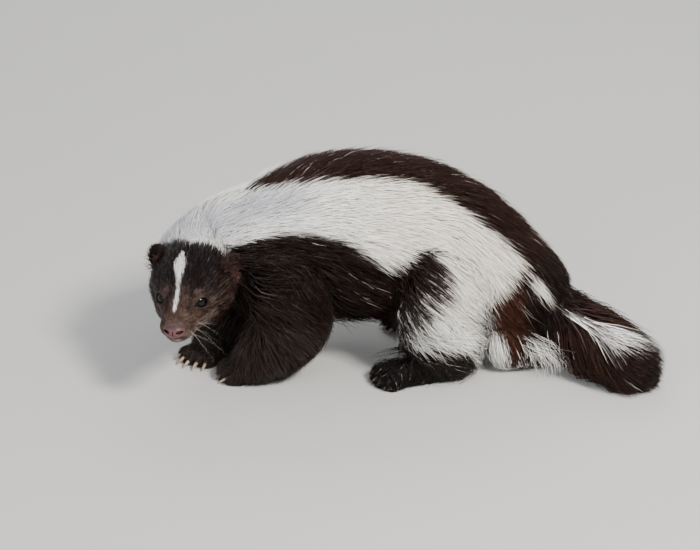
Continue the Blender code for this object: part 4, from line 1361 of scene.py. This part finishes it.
def make_ear(side, name):
    """A thin rounded cup with a rolled rim and the small fold at the front of its opening."""
    turn = Matrix.Rotation(-EAR_LEAN * side, 3, "X") @ facing(ear_axis(side))
    centre = on_side(EAR_CENTRES[side], side)
    ear = ball(f"ear_cup_{name}", centre, EAR_RADII, turn, segments=56)
    hollow = [EAR_RADII[0] * EAR_HOLLOW, EAR_RADII[1] - EAR_WALL, EAR_RADII[2] - EAR_WALL]
    cup = centre + turn @ Vector((EAR_WALL * 2.0, 0.0, 0.0))
    boolean(ear, ball("cup", cup, hollow, turn, segments=48), "DIFFERENCE")
    fold_place, fold_radii = EAR_FOLD
    fold = ball("fold", centre + turn @ on_side(fold_place, side), fold_radii, turn, segments=24)
    boolean(ear, fold, "UNION")
    smoothed(ear, EAR_VOXEL, rounds=6)
    in_head(ear)
    ear.data.shade_smooth()
    coloured(ear.data, ear_colour(ear_parts(ear, side)[-1], side))
    return ear


def ear_parts(ear, side):
    """An ear's points and normals, the points from its centre, and which are inside or deep inside."""
    points = numbers(ear.data.vertices, "co", 3)
    normal = numbers(ear.data.vertex_normals, "vector", 3)
    rel = head_coordinates(points) - np.array(on_side(EAR_CENTRES[side], side))
    inner = (normal @ HEAD_TURN) @ np.array(ear_axis(side)) > EAR_FACING
    ring = np.linalg.norm(rel / np.array([EAR_RADII[1], EAR_RADII[1], EAR_RADII[2]]), axis=1)
    return points, normal, rel, inner, inner & (ring < EAR_DEEP)


def ear_colour(deep, side):
    # The inside is the ear's own reddish skin; the outside is painted lighter on the left ear and darker on
    # the right, painted light and shade.
    return np.where(deep[:, None], np.array(EAR_INSIDE), np.array(EAR_OUTSIDE_LIT_AND_SHADED[side]))


def ear_fur(ear, name, side):
    """Short hair over the back of an ear and thin along its rim, and sparse inside."""
    draw = np.random.default_rng(SEEDS["ears"] + side)
    corners = numbers(ear.data.loops, "vertex_index", 1, int)
    corner_of = np.zeros(len(ear.data.vertices), int)
    corner_of[corners] = np.arange(len(corners))
    spread = unwrapped(ear)
    points, normal, rel, inner, deep = ear_parts(ear, side)
    chance = np.where(deep, EAR_CHANCES[0], np.where(inner, EAR_CHANCES[1], EAR_CHANCES[2]))
    pick = draw.choice(len(points), size=EAR_TUFTS, p=chance / chance.sum())
    deep = deep[pick]
    flow = rel[pick] * np.array(EAR_FLOW_SCALE) + np.array(EAR_FLOW_SHIFT)
    flow += draw.normal(0.0, EAR_FLOW_NOISE, flow.shape)
    flow = flow @ HEAD_TURN.T
    n = normal[pick]
    flow = unit(flow - n * (flow * n).sum(axis=1)[:, None])
    length = draw.uniform(*EAR_LENGTHS, EAR_TUFTS) * np.where(deep, EAR_DEEP_LENGTH, 1.0)
    path = np.zeros((EAR_TUFTS, TUFT_SEGMENTS + 1, 3))
    for k in range(TUFT_SEGMENTS + 1):
        t = k / TUFT_SEGMENTS
        rise = EAR_RISE * (1 - (1 - t) ** 2) - EAR_ROOT_DEPTH
        path[:, k] = points[pick] + flow * (length * t)[:, None] + n * rise
    under = np.repeat(n[:, None, :], TUFT_SEGMENTS + 1, axis=1)
    width = np.full(EAR_TUFTS, EAR_TUFT_WIDTH)
    return tuft_mesh(f"coat_ear_{name}", "head_fur", path, under, width, spread[corner_of[pick]],
                     ear_colour(deep, side), np.zeros(EAR_TUFTS), draw.uniform(*EAR_TONES, EAR_TUFTS))


def make_claws():
    claws = []
    for name in LEGS:
        length = CLAW_LENGTH[name.split("_")[0]]
        for place, aim, _ in toes_of(name):
            root = place + aim * CLAW_START[0] + Vector((0.0, 0.0, CLAW_START[1]))
            heights = (root.z, *CLAW_HEIGHTS)
            stations = []
            for (share, wide, high), height in zip(CLAW_STATIONS, heights):
                point = root + aim * length * share
                stations.append(((point.x, point.y, height), CLAW_RADIUS * wide, CLAW_RADIUS * high, 0.0))
            claws.append(loft("claw", stations, rings=12, sides=12))
    return joined("claws", claws)


def make_whiskers():
    """Stiff, tapered whiskers from the muzzle's sides."""
    draw = random.Random(SEEDS["whiskers"])
    pieces = []
    for side in SIDES:
        for i in range(WHISKERS_A_SIDE):
            root = (WHISKER_ROOT[0] + WHISKER_STEPS[0] * i, WHISKER_ROOT[1],
                    WHISKER_ROOT[2] + WHISKER_STEPS[1] * (i % WHISKER_ROWS))
            aim = [draw.uniform(*reach) for reach in WHISKER_AIMS]
            length = draw.uniform(*WHISKER_LENGTHS)
            spot = skin_tree.find_nearest(HEAD_FRAME @ on_side(root, side))[0]
            way = (HEAD_FRAME.to_3x3() @ on_side(aim, side)).normalized()
            stations = []
            for k in range(WHISKER_SPANS + 1):
                t = k / WHISKER_SPANS
                point = spot + way * length * t + Vector((0.0, 0.0, -WHISKER_SAG * length * t * t))
                thick = WHISKER_RADIUS * (1.0 - WHISKER_TAPER * t)
                stations.append((point, thick, thick, 0.0))
            pieces.append(loft("whisker", stations, rings=8, sides=5))
    return joined("whiskers", pieces)


eyes = make_eyes()
nose_pad = make_nose()
ears = [make_ear(side, name) for side, name in SIDES.items()]
ear_coats = [ear_fur(ear, name, side) for ear, (side, name) in zip(ears, SIDES.items())]
claws = make_claws()
whiskers = make_whiskers()
for piece in (claws, whiskers):
    piece.data.shade_smooth()


# Materials.

NOISE_BAND = (0.3, 0.7)
NOISE_DETAIL = 4.0
NOISE_ROUGHNESS = 0.55
COAT_GRAIN = 900.0
SKIN_GRAIN = 1400.0
# Painted shade: the coat's colour darkens from each tuft's tip to its root, deep in the coat.
COAT_ROOT_SHADE_TO_TIP = (0.66, 1.10)
COAT_TONES = (0.76, 1.20)
COAT_FINE = (0.80, 1.15)
COAT_ROUGHNESS = (0.28, 0.50)
COAT_SPECULAR = 0.20
SKIN_SPECULAR = 0.3
EYE_SPECULAR = 0.26
SKIN_BUMP = 0.5
CLAW_BUMP = 0.6


def nodes_of(name, roughness, specular):
    """A material with its uniform numbers on the shader itself, and its nodes and links."""
    material = bpy.data.materials.new(name)
    material.use_nodes = True
    tree = material.node_tree
    shader = tree.nodes["Principled BSDF"]
    shader.inputs["Roughness"].default_value = roughness
    shader.inputs["Specular IOR Level"].default_value = specular
    return material, tree, shader


def node(tree, kind, links, values, **settings):
    """A node with its incoming links and its uniform numbers."""
    made = tree.nodes.new(kind)
    for key, value in settings.items():
        setattr(made, key, value)
    for socket, source in links.items():
        tree.links.new(source, made.inputs[socket])
    for socket, value in values.items():
        made.inputs[socket].default_value = value
    return made


def attribute_node(tree, name):
    return node(tree, "ShaderNodeAttribute", {}, {}, attribute_name=name)


def fine_noise(tree, scale):
    place = node(tree, "ShaderNodeTexCoord", {}, {})
    made = node(tree, "ShaderNodeTexNoise", {"Vector": place.outputs["Object"]},
                {"Scale": scale, "Detail": NOISE_DETAIL, "Roughness": NOISE_ROUGHNESS})
    return made.outputs["Fac"]


def ranged(tree, source, limits, band=(0.0, 1.0)):
    """The source stretched from a band to other limits."""
    values = {"From Min": band[0], "From Max": band[1], "To Min": limits[0], "To Max": limits[1]}
    return node(tree, "ShaderNodeMapRange", {"Value": source}, values).outputs["Result"]


def product(tree, one, two):
    return node(tree, "ShaderNodeMath", {0: one, 1: two}, {}, operation="MULTIPLY").outputs["Value"]


def shaded_colour(tree, shader, factor):
    """The coat's own colour times a factor, as the shader's colour."""
    colour = attribute_node(tree, "coat_colour").outputs["Color"]
    made = node(tree, "ShaderNodeVectorMath", {0: colour, "Scale": factor}, {}, operation="SCALE")
    tree.links.new(made.outputs["Vector"], shader.inputs["Base Color"])


def bumped(tree, shader, source, strength, distance):
    made = node(tree, "ShaderNodeBump", {"Height": source}, {"Strength": strength, "Distance": distance})
    tree.links.new(made.outputs["Normal"], shader.inputs["Normal"])


def coat_material():
    material, tree, shader = nodes_of("coat", COAT_ROUGHNESS[0], COAT_SPECULAR)
    fine = fine_noise(tree, COAT_GRAIN)
    # Painted shade: the colour darkens towards each tuft's root.
    along = ranged(tree, attribute_node(tree, "along").outputs["Fac"], COAT_ROOT_SHADE_TO_TIP)
    tone = ranged(tree, attribute_node(tree, "tone").outputs["Fac"], COAT_TONES)
    bright = product(tree, product(tree, along, tone), ranged(tree, fine, COAT_FINE, NOISE_BAND))
    shaded_colour(tree, shader, bright)
    tree.links.new(ranged(tree, fine, COAT_ROUGHNESS, NOISE_BAND), shader.inputs["Roughness"])
    return material


def skin_material(name, brightness, roughness, bump):
    material, tree, shader = nodes_of(name, roughness[0], SKIN_SPECULAR)
    fine = fine_noise(tree, SKIN_GRAIN)
    shaded_colour(tree, shader, ranged(tree, fine, brightness, NOISE_BAND))
    tree.links.new(ranged(tree, fine, roughness), shader.inputs["Roughness"])
    bumped(tree, shader, fine, SKIN_BUMP, bump)
    return material


def plain_material(name, colours, scale, roughness, bump=0.0, specular=0.5):
    """Two colours mixed by a noise of the given scale."""
    material, tree, shader = nodes_of(name, roughness, specular)
    fine = fine_noise(tree, scale)
    made = node(tree, "ShaderNodeMix", {}, {}, data_type="RGBA")
    tree.links.new(fine, made.inputs["Factor"])
    for socket, colour in zip("AB", colours):
        made.inputs[socket].default_value = (*colour, 1.0)
    tree.links.new(made.outputs["Result"], shader.inputs["Base Color"])
    if bump:
        bumped(tree, shader, fine, CLAW_BUMP, bump)
    return material


def paint(material, *items):
    for item in items:
        item.data.materials.clear()
        item.data.materials.append(material)


paint(coat_material(), *coat, *ear_coats)
paint(skin_material("skin", brightness=(0.60, 0.92), roughness=(0.55, 0.80), bump=0.0004), skin)
paint(skin_material("nose", brightness=(0.85, 1.15), roughness=(0.32, 0.48), bump=0.00025), nose_pad)
paint(skin_material("ear_skin", brightness=(0.70, 1.10), roughness=(0.75, 0.90), bump=0.0002), *ears)
paint(plain_material("eye", EYE_COLOURS, scale=250.0, roughness=0.02, specular=EYE_SPECULAR), *eyes)
paint(plain_material("claw", CLAW_COLOURS, scale=300.0, roughness=0.35, bump=0.0001), claws)
paint(plain_material("whisker", WHISKER_COLOURS, scale=500.0, roughness=0.4), whiskers)


# Place every piece in the row frame.
low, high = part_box("eye_left")
shift = (low + high) / 2 - HEAD_FRAME @ EYE_CENTRE
pieces = [skin, nose_pad, claws, whiskers, *eyes, *ears, *coat, *ear_coats]
for piece in pieces:
    piece.data.transform(Matrix.Translation(shift))
    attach(piece, "root")
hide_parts("head", "neck", "torso", "tail", "hindfoot_left", "hindfoot_right", *LEGS)
for eye, ear, name in zip(eyes, ears, SIDES.values()):
    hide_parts(f"eye_{name}")
    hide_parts(f"ear_{name}")
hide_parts("nose")


# Floor, lights and camera.
FLOOR_SIZE = 12.0
floor_mesh = bmesh.new()
bmesh.ops.create_grid(floor_mesh, x_segments=2, y_segments=2, size=FLOOR_SIZE / 2)
floor = object_of_bmesh("floor", floor_mesh)
paint(plain_material("floor", FLOOR_COLOURS, scale=3.0, roughness=0.85), floor)

world = bpy.data.worlds.new("studio")
bpy.context.scene.world = world
world.use_nodes = True
background = world.node_tree.nodes["Background"]
background.inputs["Color"].default_value = SKY
background.inputs["Strength"].default_value = SKY_STRENGTH


def placed(item, place, away):
    """Put a light or the camera at a place, looking against the direction away."""
    bpy.context.scene.collection.objects.link(item)
    item.location = place
    item.rotation_euler = (-away).to_track_quat("-Z", "Y").to_euler()


LIGHT_TARGET = Vector((0.0, 0.0, 0.06))


def softbox(name, place, size, power, colour):
    light = bpy.data.lights.new(name, "AREA")
    light.shape = "RECTANGLE"
    light.size, light.size_y = size
    light.energy = power
    light.color = colour
    placed(bpy.data.objects.new(name, light), place, Vector(place) - LIGHT_TARGET)


softbox("key", place=(0.70, -1.15, 1.40), size=(0.40, 0.40), power=52.0, colour=(1.0, 0.965, 0.91))
softbox("fill", place=(-1.25, -1.20, 0.80), size=(1.2, 1.0), power=14.0, colour=(0.95, 0.97, 1.0))
softbox("back", place=(0.2, 1.50, 1.20), size=(1.4, 0.9), power=12.0, colour=(1.0, 1.0, 1.0))

# The camera stands where the photograph's did: degrees round and above, and metres in body coordinates.
CAMERA_AZIMUTH = math.radians(-10.0)
CAMERA_ELEVATION = math.radians(25.0)
CAMERA_PLACE = Vector((-0.2982, -1.5993, 0.8148))
CAMERA_LENS = 127.7
CAMERA_SENSOR = 36.0
CAMERA_REACH = 40.0
camera_data = bpy.data.cameras.new("camera")
camera_data.sensor_width = CAMERA_SENSOR
camera_data.lens = CAMERA_LENS
camera_data.clip_end = CAMERA_REACH
camera = bpy.data.objects.new("camera", camera_data)
level = Vector((math.sin(CAMERA_AZIMUTH), -math.cos(CAMERA_AZIMUTH), 0.0)) * math.cos(CAMERA_ELEVATION)
placed(camera, CAMERA_PLACE + shift, level + Vector((0.0, 0.0, math.sin(CAMERA_ELEVATION))))
bpy.context.scene.camera = camera
